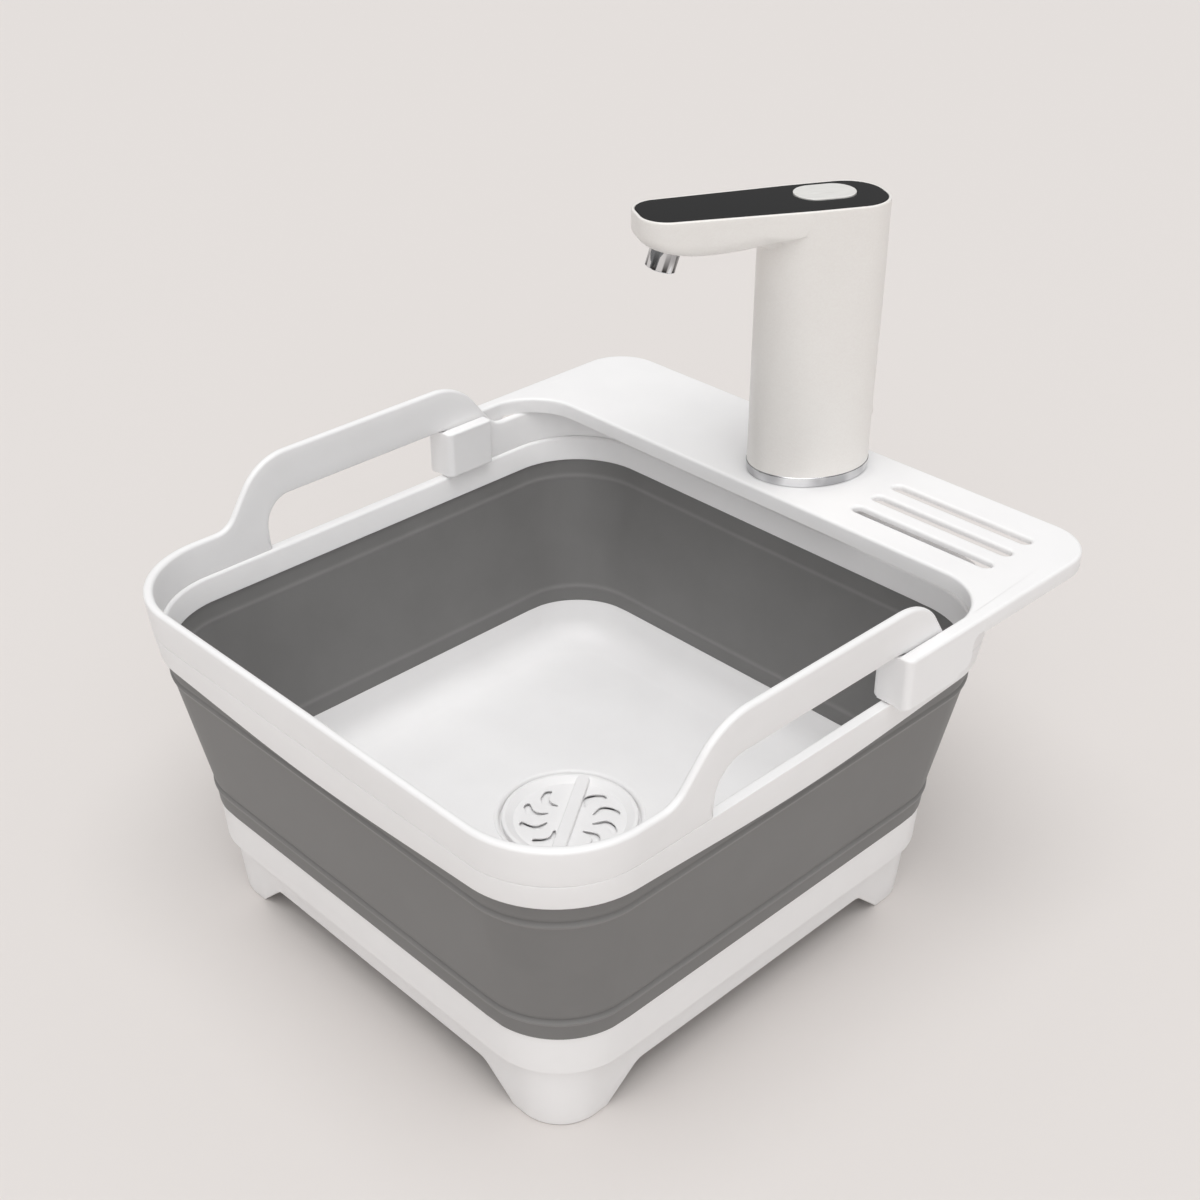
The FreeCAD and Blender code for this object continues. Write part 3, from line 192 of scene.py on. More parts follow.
def brushed(tree, shader, coords, look):
    # satin aluminium-look plate: straight brush lines that stretch the light across them
    along = addNode(tree, "ShaderNodeMapping", {"Rotation": (0, 0, -look["turn"])}, {"Vector": coords})
    lines = addNode(tree, "ShaderNodeMapping", {"Scale": [1 / (size * mm) for size in look["lineMm"]]},
                    {"Vector": along})
    grain = addNode(tree, "ShaderNodeTexNoise", {"Scale": 1.0, "Detail": 3.0}, {"Vector": lines})
    tintBetween(tree, shader, grain, look)
    relief(tree, shader, grain, look)


bareMetal = {"Metallic": 1.0}
chromePlate = dict(light="#e4e4e5", dark="#b4b4b6", waveMm=24, wearMm=3, smooth=0.03, dull=0.1, deep=0.004,
                   shader=bareMetal)
# the nozzle's chrome, with dark reflections painted into its flutes
darkReflectionPlate = dict(chromePlate, flutes="#2c2b2a")
turnedSteel = dict(light="#b9b8b5", dark="#a3a19d", waveMm=2, wearMm=1, smooth=0.22, dull=0.4, deep=0.004,
                   shader=bareMetal)
zincCan = dict(light="#a9abad", dark="#8f9193", waveMm=6, wearMm=2, smooth=0.3, dull=0.5, deep=0.006,
               shader=bareMetal)


def plated(tree, shader, coords, look):
    # electroplate or turned metal: mirror-like, slightly wavy, faint wear in the gloss; a look with flutes
    # gets dark reflections painted into them
    wave = speckle(tree, coords, look["waveMm"])
    colour = tintBetween(tree, shader, wave, look, 0.42, 0.58)
    if "flutes" in look:
        # painted reflection: the flute mask lays a dark colour into the chrome where the flutes are
        flutes = addNode(tree, "ShaderNodeAttribute", {"attribute_name": "grooveAndReflection"}).outputs["Fac"]
        filled = addNode(tree, "ShaderNodeMixRGB", {"Color2": linear(look["flutes"])},
                         {"Fac": flutes, "Color1": colour})
        join(tree, filled, shader, "Base Color")
    glossBetween(tree, shader, speckle(tree, coords, look["wearMm"], 4), look)
    relief(tree, shader, wave, look)


blackRubber = dict(light="#232323", dark="#191919", grainMm=1.0, smooth=0.55, dull=0.75, deep=0.02,
                   shader={"IOR": 1.52})
darkNylon = dict(light="#3a3b3d", dark="#303133", grainMm=1.2, smooth=0.4, dull=0.55, deep=0.015,
                 shader={"IOR": 1.53})
greenBoard = dict(light="#1f6a3f", dark="#175433", grainMm=1.6, smooth=0.25, dull=0.45, deep=0.01,
                  shader={"IOR": 1.55})
shrinkFilm = dict(light="#2f5fa8", dark="#28529a", grainMm=3.0, smooth=0.15, dull=0.28, deep=0.01,
                  shader={"IOR": 1.54})
paleFlap = dict(light="#ece8e4", dark="#e6e2de", grainMm=1.0, smooth=0.5, dull=0.65, deep=0.015,
                shader={"IOR": 1.5})


def speckled(tree, shader, coords, look):
    # rubber, nylon, resin board and shrink film: one tint with a fine speckle and an uneven gloss
    grain = speckle(tree, coords, look["grainMm"], 3)
    tintBetween(tree, shader, grain, look)
    glossBetween(tree, shader, grain, look)
    relief(tree, shader, grain, look)


milkyTube = dict(light="#eef0f0", dark="#dfe2e2", cloudMm=4, smooth=0.2, dull=0.35,
                 shader={"IOR": 1.41, "Transmission Weight": 0.55, "Subsurface Weight": 0.2})


def clearHose(tree, shader, coords, look):
    # silicone tube: milky and soft, it passes light with little shine
    cloud = speckle(tree, coords, look["cloudMm"])
    tintBetween(tree, shader, cloud, look)
    glossBetween(tree, shader, cloud, look)


finishes = {slotName: newFinish(*recipe) for slotName, recipe in {
    "white_polypropylene": ("white polypropylene", moulded, whitePlastic),
    "grey_elastomer": ("grey elastomer", softGrey, greyRubber),
    "pearl_white_abs": ("pearl lacquered abs", pearl, pearlPaint),
    "black_gloss_panel": ("black acrylic", acrylic, blackPanel),
    "silver_button": ("brushed silver plate", brushed, brushedButton),
    "chrome_trim": ("chrome plate", plated, chromePlate),
    "steel": ("turned steel", plated, turnedSteel),
    "black_rubber": ("black rubber", speckled, blackRubber),
    "dark_nylon": ("dark nylon", speckled, darkNylon),
    "circuit_board": ("green resin board", speckled, greenBoard),
    "motor_can": ("zinc plated can", plated, zincCan),
    "cell_wrap": ("blue shrink film", speckled, shrinkFilm),
    "clear_silicone": ("milky silicone", clearHose, milkyTube),
}.items()}
flapRubber = newFinish("pale flap rubber", speckled, paleFlap)
chromeWithPaintedReflections = newFinish("chrome plate with painted dark reflections", plated, darkReflectionPlate)
print("finishes ready:", len(finishes) + 2)


# Mesh helpers, in millimetres until the mesh is written

def joinedMesh(name, parts):
    # parts are (points, faces, flat) surfaces that together make one mesh
    allPoints, allFaces, smooth = [], [], []
    start = 0
    for points, faces, flat in parts:
        allPoints.append(points.reshape(-1, 3) * mm)
        allFaces += (faces + start).tolist()
        smooth += [not flat] * len(faces)
        start += points.size // 3
    mesh = bpy.data.meshes.new(name)
    mesh.from_pydata(np.vstack(allPoints).tolist(), [], allFaces)
    mesh.polygons.foreach_set("use_smooth", smooth)
    mesh.update()
    return mesh


def addObject(name, data):
    # an object for a mesh, a lamp or a camera, linked to the scene
    thing = bpy.data.objects.new(name, data)
    bpy.context.scene.collection.objects.link(thing)
    return thing


def cutAway(piece, parts):
    # the piece's mesh less a closed block
    block = addObject("block", joinedMesh("block", parts))
    modifier = piece.modifiers.new("hole", "BOOLEAN")
    modifier.object = block
    modifier.operation = "DIFFERENCE"
    modifier.solver = "EXACT"
    shape = piece.evaluated_get(bpy.context.evaluated_depsgraph_get())
    piece.data = bpy.data.meshes.new_from_object(shape)
    piece.modifiers.clear()
    bpy.data.objects.remove(block)


def makePiece(name, parts, body, slotName, nodes, finish=None, hole=None):
    # a mesh that rides on its body, if it has one, and stands in for the nodes named
    mesh = joinedMesh(name, parts)
    mesh.materials.append(finish or finishes[slotName])
    piece = addObject(name, mesh)
    if hole:
        cutAway(piece, hole)
    piece.data.set_sharp_from_angle(angle=sharpAngle)
    if body:
        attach(piece, body)
    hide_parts(*nodes)
    return piece


def markPoints(piece, name, values):
    # one number for each point of the mesh, which its material reads
    layer = piece.data.attributes.new(name, "FLOAT", "POINT")
    layer.data.foreach_set("value", values.ravel().astype(np.float32))


def surface(grid, closeRows=True, closeColumns=True):
    # quads between neighbours of a grid of points, wrapping round where it is closed
    rows, columns = grid.shape[:2]
    i = np.arange(rows if closeRows else rows - 1)[:, None]
    j = np.arange(columns if closeColumns else columns - 1)[None, :]
    nextI, nextJ = (i + 1) % rows, (j + 1) % columns
    corners = (i * columns + j, nextI * columns + j, nextI * columns + nextJ, i * columns + nextJ)
    return (grid, np.stack(np.broadcast_arrays(*corners), -1).reshape(-1, 4), False)


def unit(vectors):
    # vectors divided by their lengths
    return vectors / np.linalg.norm(vectors, axis=-1, keepdims=True)


def fullTurn(count):
    # angles at even steps round a circle, without the one that repeats the first
    return np.linspace(0, 2 * math.pi, count, endpoint=False)


def quarterTurns(count):
    # angles at even steps from 0 to a right angle
    return np.linspace(0, quarterTurn, count + 1)


def onCircle(angles):
    # the cosine and sine of each angle
    return np.stack([np.cos(angles), np.sin(angles)], -1)


def atHeight(xy, z):
    # points in plan, given one height or a height for each
    return np.concatenate([xy, np.broadcast_to(z, xy.shape[:-1])[..., None]], -1)


def roundedPath(corners, arcStep=7.5, closed=True):
    # straight lines between corners (u, v) or (u, v, radius); an arc of that radius touches both lines
    points = np.array([corner[:2] for corner in corners], float)
    runs = []
    for i, corner in enumerate(corners):
        if len(corner) < 3:
            runs.append(points[i][None])
            continue
        back = unit(points[i - 1] - points[i])
        ahead = unit(points[(i + 1) % len(points)] - points[i])
        half = math.acos(np.clip(back @ ahead, -1, 1)) / 2
        centre = points[i] + unit(back + ahead) * corner[2] / math.sin(half)
        start = points[i] + back * corner[2] / math.tan(half) - centre
        sweep = (math.pi - 2 * half) * np.sign(ahead[0] * back[1] - ahead[1] * back[0])
        steps = max(2, math.ceil(abs(sweep) / math.radians(arcStep)))
        angles = math.atan2(start[1], start[0]) + np.linspace(0, sweep, steps + 1)
        runs.append(centre + corner[2] * onCircle(angles))
    path = np.vstack(runs)
    gaps = np.linalg.norm(path - np.roll(path, 1, 0), axis=1) > sameSpot
    gaps[0] |= not closed
    return path[gaps]


def roundedBox(startX, endX, startY, endY, bend, arcStep=7.5):
    # a rectangle walked along x first, with one bend for all its corners or one for each
    corners = ((startX, startY), (endX, startY), (endX, endY), (startX, endY))
    return roundedPath([(*corner, size) for corner, size in zip(corners, np.broadcast_to(bend, 4))], arcStep)


def evenly(path, spacing=None, count=None, closed=False):
    # the same path with its points at even distances along it
    if closed:
        path = np.vstack([path, path[:1]])
    lengths = np.concatenate([[0], np.cumsum(np.linalg.norm(np.diff(path, axis=0), axis=1))])
    count = count or max(2, int(round(lengths[-1] / spacing)) + 1)
    at = np.linspace(0, lengths[-1], count + 1 if closed else count)
    found = np.stack([np.interp(at, lengths, path[:, k]) for k in range(path.shape[1])], -1)
    return found[:-1] if closed else found


def sideNormals(loop):
    # for each point of a closed loop, the left-hand normal that keeps both its edges at one offset
    ahead = unit(np.roll(loop, -1, 0) - loop)
    behind = np.roll(ahead, 1, 0)
    left = (ahead + behind)[:, ::-1] * [-1, 1]
    return left * 2 / np.sum(left * left, -1, keepdims=True)


def counterClockwise(loop):
    # the loop's area, summed from x times the next y less y times the next x, is positive
    x, y = loop[:, 0], loop[:, 1]
    return np.sum(x * np.roll(y, -1) - y * np.roll(x, -1)) > 0


def plate(outlines, foot, top, footRound=0.0, topRound=0.0, steps=4):
    # A plate drawn by outlines, the first outside and the rest holes. Each wall rises from foot to top, and
    # at both ends leans into the plate along a quarter circle; the ends are filled flat.
    turns = quarterTurns(steps)
    footTurns = turns[::-1]
    rise = np.concatenate([foot + footRound * (1 - np.sin(footTurns)), top - topRound * (1 - np.sin(turns))])
    lean = np.concatenate([footRound * (1 - np.cos(footTurns)), topRound * (1 - np.cos(turns))])
    keep = np.concatenate([[True], np.hypot(np.diff(rise), np.diff(lean)) > sameSpot])
    rise, lean = rise[keep], lean[keep]
    walls, ends, loops = [], [[], []], []
    start = 0
    for k, loop in enumerate(outlines):
        loop = loop if counterClockwise(loop) == (k == 0) else loop[::-1]
        grid = atHeight(loop[:, None] + sideNormals(loop)[:, None] * lean[None, :, None], rise)
        walls.append(surface(grid, True, False))
        ends[0].append(grid[:, 0])
        ends[1].append(grid[:, -1])
        loops.append(list(range(start, start + len(loop)))[::1 if k == 0 else -1])
        start += len(loop)
    for end, sign in zip(ends, (-1, 1)):
        points = np.vstack(end)
        filled = delaunay_2d_cdt([Vector(p[:2]) for p in points], [], loops, 1, fillTolerance)
        given = np.array([places[0] for places in filled[3]])
        triangles = given[np.array([face for face, inside in zip(filled[2], filled[5]) if inside == [0]])]
        a, b, c = (points[triangles[:, k]] for k in range(3))
        area = (b[:, 0] - a[:, 0]) * (c[:, 1] - a[:, 1]) - (b[:, 1] - a[:, 1]) * (c[:, 0] - a[:, 0])
        wrong = area * sign < 0
        triangles[wrong] = triangles[wrong][:, ::-1]
        walls.append((points, triangles, True))
    return walls


def moved(parts, change):
    # the same surfaces with their points changed by a function
    return [(change(points.reshape(-1, 3)), faces, flat) for points, faces, flat in parts]


def turned(points, degrees, first, second):
    # points turned in the plane of two axes: (a, b) becomes (a cos - b sin, a sin + b cos)
    cos, sin = onCircle(math.radians(degrees))
    spun = points.copy()
    spun[:, first] = points[:, first] * cos - points[:, second] * sin
    spun[:, second] = points[:, first] * sin + points[:, second] * cos
    return spun


def lathe(section, count):
    # a closed section (radius, height) turned about the upright axis
    return surface(atHeight(onCircle(fullTurn(count))[:, None] * section[None, :, :1], section[:, 1]))


def carried(loop, section):
    # a closed section (outward offset, height) carried round a counter-clockwise loop
    return surface(atHeight(loop[:, None] - sideNormals(loop)[:, None] * section[None, :, :1], section[:, 1]))


# The basin's outline: a square with rounded corners, walked counter-clockwise from the right side's front

basin = dict(
    half=155.0, corner=48.0, centreY=-21.25, sideSteps=16, cornerSteps=20, cornerGrowth=-0.45,
    evenReach=95.0, trayFoot=38.0, floor=40.5, wallFoot=60.5, seat=63.5, lowerFold=72.6, upperFold=138.0,
    ringFoot=148.0, frameFoot=161.0, rimTop=179.5)
straight = basin["half"] - basin["corner"]
sideLength = 2 * straight
quarterLength = sideLength + basin["corner"] * quarterTurn
cornerRun = np.linspace(sideLength, quarterLength, basin["cornerSteps"] + 1)[1:-1]
quarterRun = np.concatenate([np.linspace(0, sideLength, basin["sideSteps"] + 1), cornerRun])
around = (quarterRun + quarterLength * np.arange(4)[:, None]).ravel()


def basinPlace(along, inset, height, growth=None):
    # A quarter runs from the middle of one corner to the next. The inset moves its side in, and changes the
    # corner's radius by the growth. Distance from the side's middle is kept up to evenReach; past that it is
    # drawn in to end at the diagonal.
    index = np.round((along - straight) / quarterLength)
    slide = along - straight - index * quarterLength
    reach = basin["corner"] + (growth or basin["cornerGrowth"]) * inset
    flat = basin["half"] - inset - reach
    even = basin["evenReach"]
    past = np.clip(np.abs(slide) - even, 0, None) / (quarterLength / 2 - even)
    drawn = past * (flat + reach * quarterTurn / 2 - even)
    slide = np.sign(slide) * (np.minimum(np.abs(slide), even) + drawn)
    level = np.clip(slide, -flat, flat)
    turn = (slide - level) / reach
    x = flat + reach * np.cos(turn)
    y = level + reach * np.sin(turn)
    cos, sin = np.cos(index * quarterTurn), np.sin(index * quarterTurn)
    return np.stack(np.broadcast_arrays(x * cos - y * sin, x * sin + y * cos + basin["centreY"], height), -1)


def basinSweep(section):
    # a closed section (inset, height), outer face upwards, carried round the basin
    return surface(basinPlace(around[:, None], section[None, :, 0], section[None, :, 1]))


def levelSide(height, count=basin["sideSteps"] + 1):
    # an open path along a whole side at one height
    return np.stack([np.linspace(-straight, straight, count), np.full(count, height)], -1)


def mirroredSide(corners, size):
    # an open path along a whole side, from the corners of its left half
    right = [(-corner[0],) + corner[1:] for corner in corners[::-1]]
    return evenly(roundedPath(corners + right, size["arcStep"], False), count=size["points"])


def ringEdge(sides, cornerHeight):
    # an edge round the basin as (distance along, height): one open path per side, level round the corners
    level = np.stack([cornerRun, np.full_like(cornerRun, cornerHeight)], -1)
    runs = []
    for k, side in enumerate(sides):
        for run in (side + [straight, 0], level):
            runs.append(run + [k * quarterLength, 0])
    return np.vstack(runs)


def edgeNormals(edge, sign):
    # left-hand (sign 1) or right-hand (sign -1) normals of an edge that closes after four quarters
    ahead = np.vstack([edge[1:], edge[:1] + [4 * quarterLength, 0]]) - edge
    tangent = unit(unit(ahead) + unit(np.roll(ahead, 1, 0)))
    return sign * tangent[:, ::-1] * [-1, 1]


def strap(footEdge, topEdge, insetAt, thick, footRound, topRound, growth=None, steps=4, faceSteps=3):
    # A band on the basin's outline between two edges. Its section climbs the outer face, rounds the top edge,
    # drops down the inner face and rounds the foot edge; roundings are square to the edge, in the face.
    turns = quarterTurns(steps)
    spans = []
    for edge, sign, size in ((footEdge, 1, footRound), (topEdge, -1, topRound)):
        size = np.broadcast_to(np.asarray(size, float), (len(edge),))[:, None]
        away = size * (1 - np.sin(turns))
        spot = edge[:, None] + edgeNormals(edge, sign)[:, None] * away[..., None]
        spans.append((spot, size * (1 - np.cos(turns))))
    (foot, footDepth), (top, topDepth) = spans
    share = np.linspace(0, 1, faceSteps + 2)[1:-1][None, :, None]
    face = foot[:, :1] * (1 - share) + top[:, :1] * share
    zero = np.zeros(face.shape[:2])
    spot = np.concatenate([foot[:, ::-1], face, top, top[:, ::-1], face[:, ::-1], foot], 1)
    depth = np.concatenate([footDepth[:, ::-1], zero, topDepth,
                            thick - topDepth[:, ::-1], zero + thick, thick - footDepth], 1)
    return surface(basinPlace(spot[..., 0], insetAt(spot[..., 1]) + depth, spot[..., 1], growth))


# Rim frame with its two handles

handle = dict(
    foot=87.0, shoulder=65.0, top=210.0, footRound=13.0, shoulderRound=33.0, openHalf=64.0, openTop=187.0,
    openRound=15.0, openFootRound=1.0, thick=4.0, lean=1.5, edgeRound=1.6, seamRound=0.55, easeHigh=3.0,
    arcStep=3, points=260)
rimTop, frameFoot = pick(basin, "rimTop frameFoot")
handleTop = mirroredSide([
    (-straight, rimTop), (-handle["foot"], rimTop, handle["footRound"]),
    (-handle["shoulder"], handle["top"], handle["shoulderRound"])], handle)
handOpening = mirroredSide([
    (-straight, frameFoot), (-handle["openHalf"], frameFoot, handle["openFootRound"]),
    (-handle["openHalf"], handle["openTop"], handle["openRound"])], handle)
frameTopEdge = ringEdge([handleTop, levelSide(rimTop)] * 2, rimTop)
frameFootEdge = ringEdge([handOpening, levelSide(frameFoot)] * 2, frameFoot)


def frameInset(height):
    # grows evenly from 0 at the rim's top to the lean at the frame's foot
    return handle["lean"] * (rimTop - height) / (rimTop - frameFoot)


lifted = np.clip((frameFootEdge[:, 1] - frameFoot) / handle["easeHigh"], 0, 1)
footRounding = handle["seamRound"] + (handle["edgeRound"] - handle["seamRound"]) * lifted
makePiece("rimFrame", [strap(frameFootEdge, frameTopEdge, frameInset, handle["thick"], footRounding,
                             handle["edgeRound"])], "rim", "white_polypropylene", ["rim_frame"])

lowerRing = dict(
    topInset=1.5, footInset=3.3, thick=5.5, edgeRound=1.6, seamRound=0.55, droop=5.5, droopBelow=4.0,
    lipThick=1.7, lipRound=0.6, lipInside=0.4, lipGap=0.2, hair=0.02)


def ringWithLip():
    # the section is swept round, then its outer foot is lowered by droop times the squared cosine of the
    # distance from the side's middle
    topInset, footInset, thick, seamRound, gap = pick(lowerRing, "topInset footInset thick seamRound lipGap")
    foot = basin["ringFoot"]
    lipInset = footInset + lowerRing["lipThick"]
    section = roundedPath([
        (footInset, foot, lowerRing["lipRound"]), (topInset, frameFoot, seamRound),
        (topInset + thick, frameFoot, lowerRing["edgeRound"]), (footInset + thick, foot, seamRound),
        (lipInset + gap, foot + lowerRing["hair"]), (lipInset, foot, lowerRing["lipInside"])], arcStep=18)
    points, faces, flat = basinSweep(section)
    fromMiddle = around - straight - np.round((around - straight) / quarterLength) * quarterLength
    share = np.cos(fromMiddle / quarterLength * math.pi) ** 2
    level = frameFoot - lowerRing["droopBelow"]
    outer = (section[:, 0] < lipInset + gap / 2) * np.clip((level - section[:, 1]) / (level - foot), 0, 1)
    points[..., 2] -= lowerRing["droop"] * share[:, None] * outer[None]
    return (points, faces, flat)


makePiece("rimLowerRing", [ringWithLip()], "rim", "white_polypropylene", ["rim_lower_ring"])
print("rim made")


# Folding wall: one sheet of elastomer from the tray to the rim

wall = dict(
    thick=2.6, footInset=18.4, lowerInset=17.4, upperInset=6.2, topInset=5.0, bend=14.0, crease=0.45,
    creaseWide=1.1, bead=0.7, beadAside=-2.2, rowMm=0.8, creaseShade=0.86, ridgeHighlight=1.3, beadHighlight=1.28)


def nearFold(z, aside=0.0):
    # bell curves centred on the two folds, moved aside along the height
    folds = pick(basin, "lowerFold upperFold")
    return sum(np.exp(-((z - aside - fold) / wall["creaseWide"]) ** 2) for fold in folds)


wallFace = evenly(roundedPath([
    (wall["footInset"], basin["wallFoot"]), (wall["lowerInset"], basin["lowerFold"], wall["bend"]),
    (wall["upperInset"], basin["upperFold"], wall["bend"]), (wall["topInset"], basin["ringFoot"])],
    arcStep=3, closed=False), wall["rowMm"])
wallHeight = wallFace[:, 1]
crease, bead = nearFold(wallHeight), nearFold(wallHeight, wall["beadAside"])
outerFace = wallFace + np.outer(wall["crease"] * crease - wall["bead"] * bead, [1, 0])
innerFace = wallFace + np.outer(wall["thick"] + wall["crease"] * crease, [1, 0])
innerFace = innerFace[wallHeight > basin["seat"]][::-1]
wallParts = [basinSweep(np.vstack([outerFace, innerFace]))]
foldingWall = makePiece("foldingWall", wallParts, None, "grey_elastomer",
                        ["wall_lower_band", "wall_middle_band", "wall_upper_band"])
# painted shade darkens the outer creases, and painted highlights lighten the beads beside them and the inner
# ridges; the grey's colour is multiplied by these
outerFoldShading = 1 + (wall["creaseShade"] - 1) * crease + (wall["beadHighlight"] - 1) * bead
innerRidgeHighlight = 1 + (wall["ridgeHighlight"] - 1) * nearFold(innerFace[:, 1])
markPoints(foldingWall, "fold", np.tile(np.concatenate([outerFoldShading, innerRidgeHighlight]), len(around)))
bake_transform(foldingWall)
print("folding wall made")


# Tray, skirt and drain

tray = dict(
    bandFoot=20.0, bandTop=18.9, seatInset=20.9, innerFoot=24.8, fillet=16.0, flatFrom=44.0, edgeRound=0.8,
    holeRadius=37.9, floorRows=6)


def trayShell():
    # up the outer band, over its top, down the inner wall and its fillet, across the floor from the rounded
    # square to the round hole, and back underneath
    foot, floor, seat, bandEnd = pick(basin, "trayFoot floor seat wallFoot")
    section = roundedPath([
        (tray["flatFrom"], foot), (tray["bandFoot"], foot, tray["edgeRound"]), (tray["bandTop"], bandEnd),
        (tray["seatInset"], seat), (tray["innerFoot"], floor, tray["fillet"]), (tray["flatFrom"], floor)],
        arcStep=6, closed=False)
    along = around[:, None]
    walls = basinPlace(along, section[None, :, 0], section[None, :, 1])
    centre = np.array([0, basin["centreY"]])
    square = basinPlace(along, tray["flatFrom"], 0)[..., :2]
    bearing = np.arctan2(square[..., 1] - centre[1], square[..., 0])
    hole = centre + tray["holeRadius"] * onCircle(bearing)
    share = np.linspace(0, 1, tray["floorRows"] + 1)[None, 1:, None]
    inwards = square * (1 - share) + hole * share
    return surface(np.concatenate([walls, atHeight(inwards, floor), atHeight(inwards[:, ::-1], foot)], 1))


makePiece("trayShell", [trayShell()], "base", "white_polypropylene", ["base_tray"])

skirt = dict(
    topInset=26.2, footInset=29.4, thick=3.0, archFoot=96.0, archTop=78.0, archHeight=17.0,
    cornerGrowth=-0.88, archRound=8.0, toeRound=3.0, edgeRound=0.9, topRound=0.2, arcStep=6, points=170)
archSide = mirroredSide([(-straight, 0), (-skirt["archFoot"], 0, skirt["toeRound"]),
                         (-skirt["archTop"], skirt["archHeight"], skirt["archRound"])], skirt)
skirtTop = ringEdge([levelSide(basin["trayFoot"], skirt["points"])] * 4, basin["trayFoot"])


def skirtInset(height):
    # runs evenly from footInset on the table to topInset under the tray
    return skirt["footInset"] + (skirt["topInset"] - skirt["footInset"]) * height / basin["trayFoot"]


skirtParts = [strap(ringEdge([archSide] * 4, 0), skirtTop, skirtInset,
                    *pick(skirt, "thick edgeRound topRound cornerGrowth"))]
makePiece("footSkirt", skirtParts, "base", "white_polypropylene", ["foot_skirt"])


def atBasin(points):
    # moved back to the basin's middle
    return points + [0, basin["centreY"], 0]


drain = dict(
    lip=39.0, lipTop=40.95, lipRound=0.3, wellRound=2.2, well=36.3, wellFloor=37.3, recess=32.8,
    recessRound=0.3, seat=35.3, bore=30.0, stem=37.6, stemFoot=24.0, stemRound=2.0, tail=16.0,
    tailBore=13.0, tailTop=18.0, tailEnd=6.0, tailRound=0.8, bend=3.0, cone=2.5, around=128)


def drainSection():
    # over the lip, down the well and the bore to the tail, then up the outside to the floor
    lip, lipTop, well, wellFloor, recess, seat = pick(drain, "lip lipTop well wellFloor recess seat")
    bore, stem, stemFoot, bend, cone = pick(drain, "bore stem stemFoot bend cone")
    tail, tailBore, tailTop, tailEnd = pick(drain, "tail tailBore tailTop tailEnd")
    return roundedPath([
        (lip, lipTop, drain["lipRound"]), (well, lipTop, drain["wellRound"]), (well, wellFloor),
        (recess, wellFloor, drain["recessRound"]), (recess, seat), (bore, seat),
        (bore, stemFoot + cone, bend), (tailBore, tailTop + cone, bend), (tailBore, tailEnd),
        (tail, tailEnd, drain["tailRound"]), (tail, tailTop, bend), (stem, stemFoot, drain["stemRound"]),
        (stem, basin["floor"]), (lip, basin["floor"])], arcStep=15)


drainParts = moved([lathe(drainSection(), drain["around"])], atBasin)
makePiece("drainBody", drainParts, "base", "white_polypropylene", ["drain_body"])

strainer = dict(
    radius=35.2, foot=37.4, plateTop=38.2, top=40.7, lipWide=2.0, lipRound=0.7, lipSlope=4.0, overlap=0.4,
    valveFoot=35.32, valveTop=36.0, valveRadius=32.5, twist=18.0, barWide=7.0, barRound=0.8, barLift=0.3,
    barTurn=124.0, firstSlot=46.0, slotPitch=36.0, slots=4, headAt=23.0, head=3.2, tailAt=12.6, tail=0.65,
    bend=0.15, bendEnd=1.2, slotRound=0.35, slotSpacing=0.6, tailSteps=15, headSteps=31, around=120)


def slotOutline(turn):
    # a teardrop along a radius, round head outwards, bent into a comma by turning its points most half way
    head, headAt, tail, tailAt = pick(strainer, "head headAt tail tailAt")
    gap = headAt - tailAt
    lean = math.acos((tail - head) / gap)
    tailPoints = tail * onCircle(np.linspace(lean, 2 * math.pi - lean, strainer["tailSteps"])) + [tailAt, 0]
    headPoints = head * onCircle(np.linspace(-lean, lean, strainer["headSteps"])) + [headAt, 0]
    drop = evenly(np.vstack([tailPoints, headPoints]), strainer["slotSpacing"], closed=True)
    out = np.hypot(drop[:, 0], drop[:, 1])
    share = np.clip((out - tailAt) / gap, 0, strainer["bendEnd"])
    bearing = np.arctan2(drop[:, 1], drop[:, 0]) + turn + strainer["bend"] * np.sin(share * math.pi)
    return out[:, None] * onCircle(bearing)


def slotted(radius, foot, top, twist):
    # a round plate with its slots turned on by the twist
    firsts = np.radians(strainer["firstSlot"] + strainer["slotPitch"] * np.arange(strainer["slots"]) + twist)
    slots = [slotOutline(first + half) for half in (0, math.pi) for first in firsts]
    disc = radius * onCircle(fullTurn(strainer["around"]))
    return plate([disc] + slots, foot, top, topRound=strainer["slotRound"])


def atDrain(parts):
    # turned about the upright axis by the bar's angle, then moved over the drain
    return moved(parts, lambda points: atBasin(turned(points, strainer["barTurn"], 0, 1)))


def strainerDisc():
    # the slotted plate, the lip that slopes down to it, and the grip bar across both
    radius, foot, plateTop, top, lipWide = pick(strainer, "radius foot plateTop top lipWide")
    lipRound, wide = strainer["lipRound"], strainer["barWide"] / 2
    edge = radius - lipWide
    slopeEnd = edge - strainer["lipSlope"]
    lip = roundedPath([(radius, foot), (radius, top, lipRound), (edge, top, lipRound), (slopeEnd, plateTop),
                       (slopeEnd, foot)], arcStep=15)
    half = radius - lipWide / 2
    bar = plate([roundedBox(half, -half, wide, -wide, wide)], foot + strainer["barLift"], top,
                topRound=strainer["barRound"])
    disc = slotted(slopeEnd + strainer["overlap"], foot, plateTop, 0.0)
    return atDrain(disc + [lathe(lip, strainer["around"])] + bar)


makePiece("strainerDisc", strainerDisc(), "strainer", "white_polypropylene", ["strainer_disc"])
valveParts = slotted(*pick(strainer, "valveRadius valveFoot valveTop twist"))
makePiece("valvePlate", atDrain(valveParts), "base", "white_polypropylene", ["valve_plate"])
print("tray and drain made")


# Shelf: a ribbed deck, and a saddle clip at the end of each arm

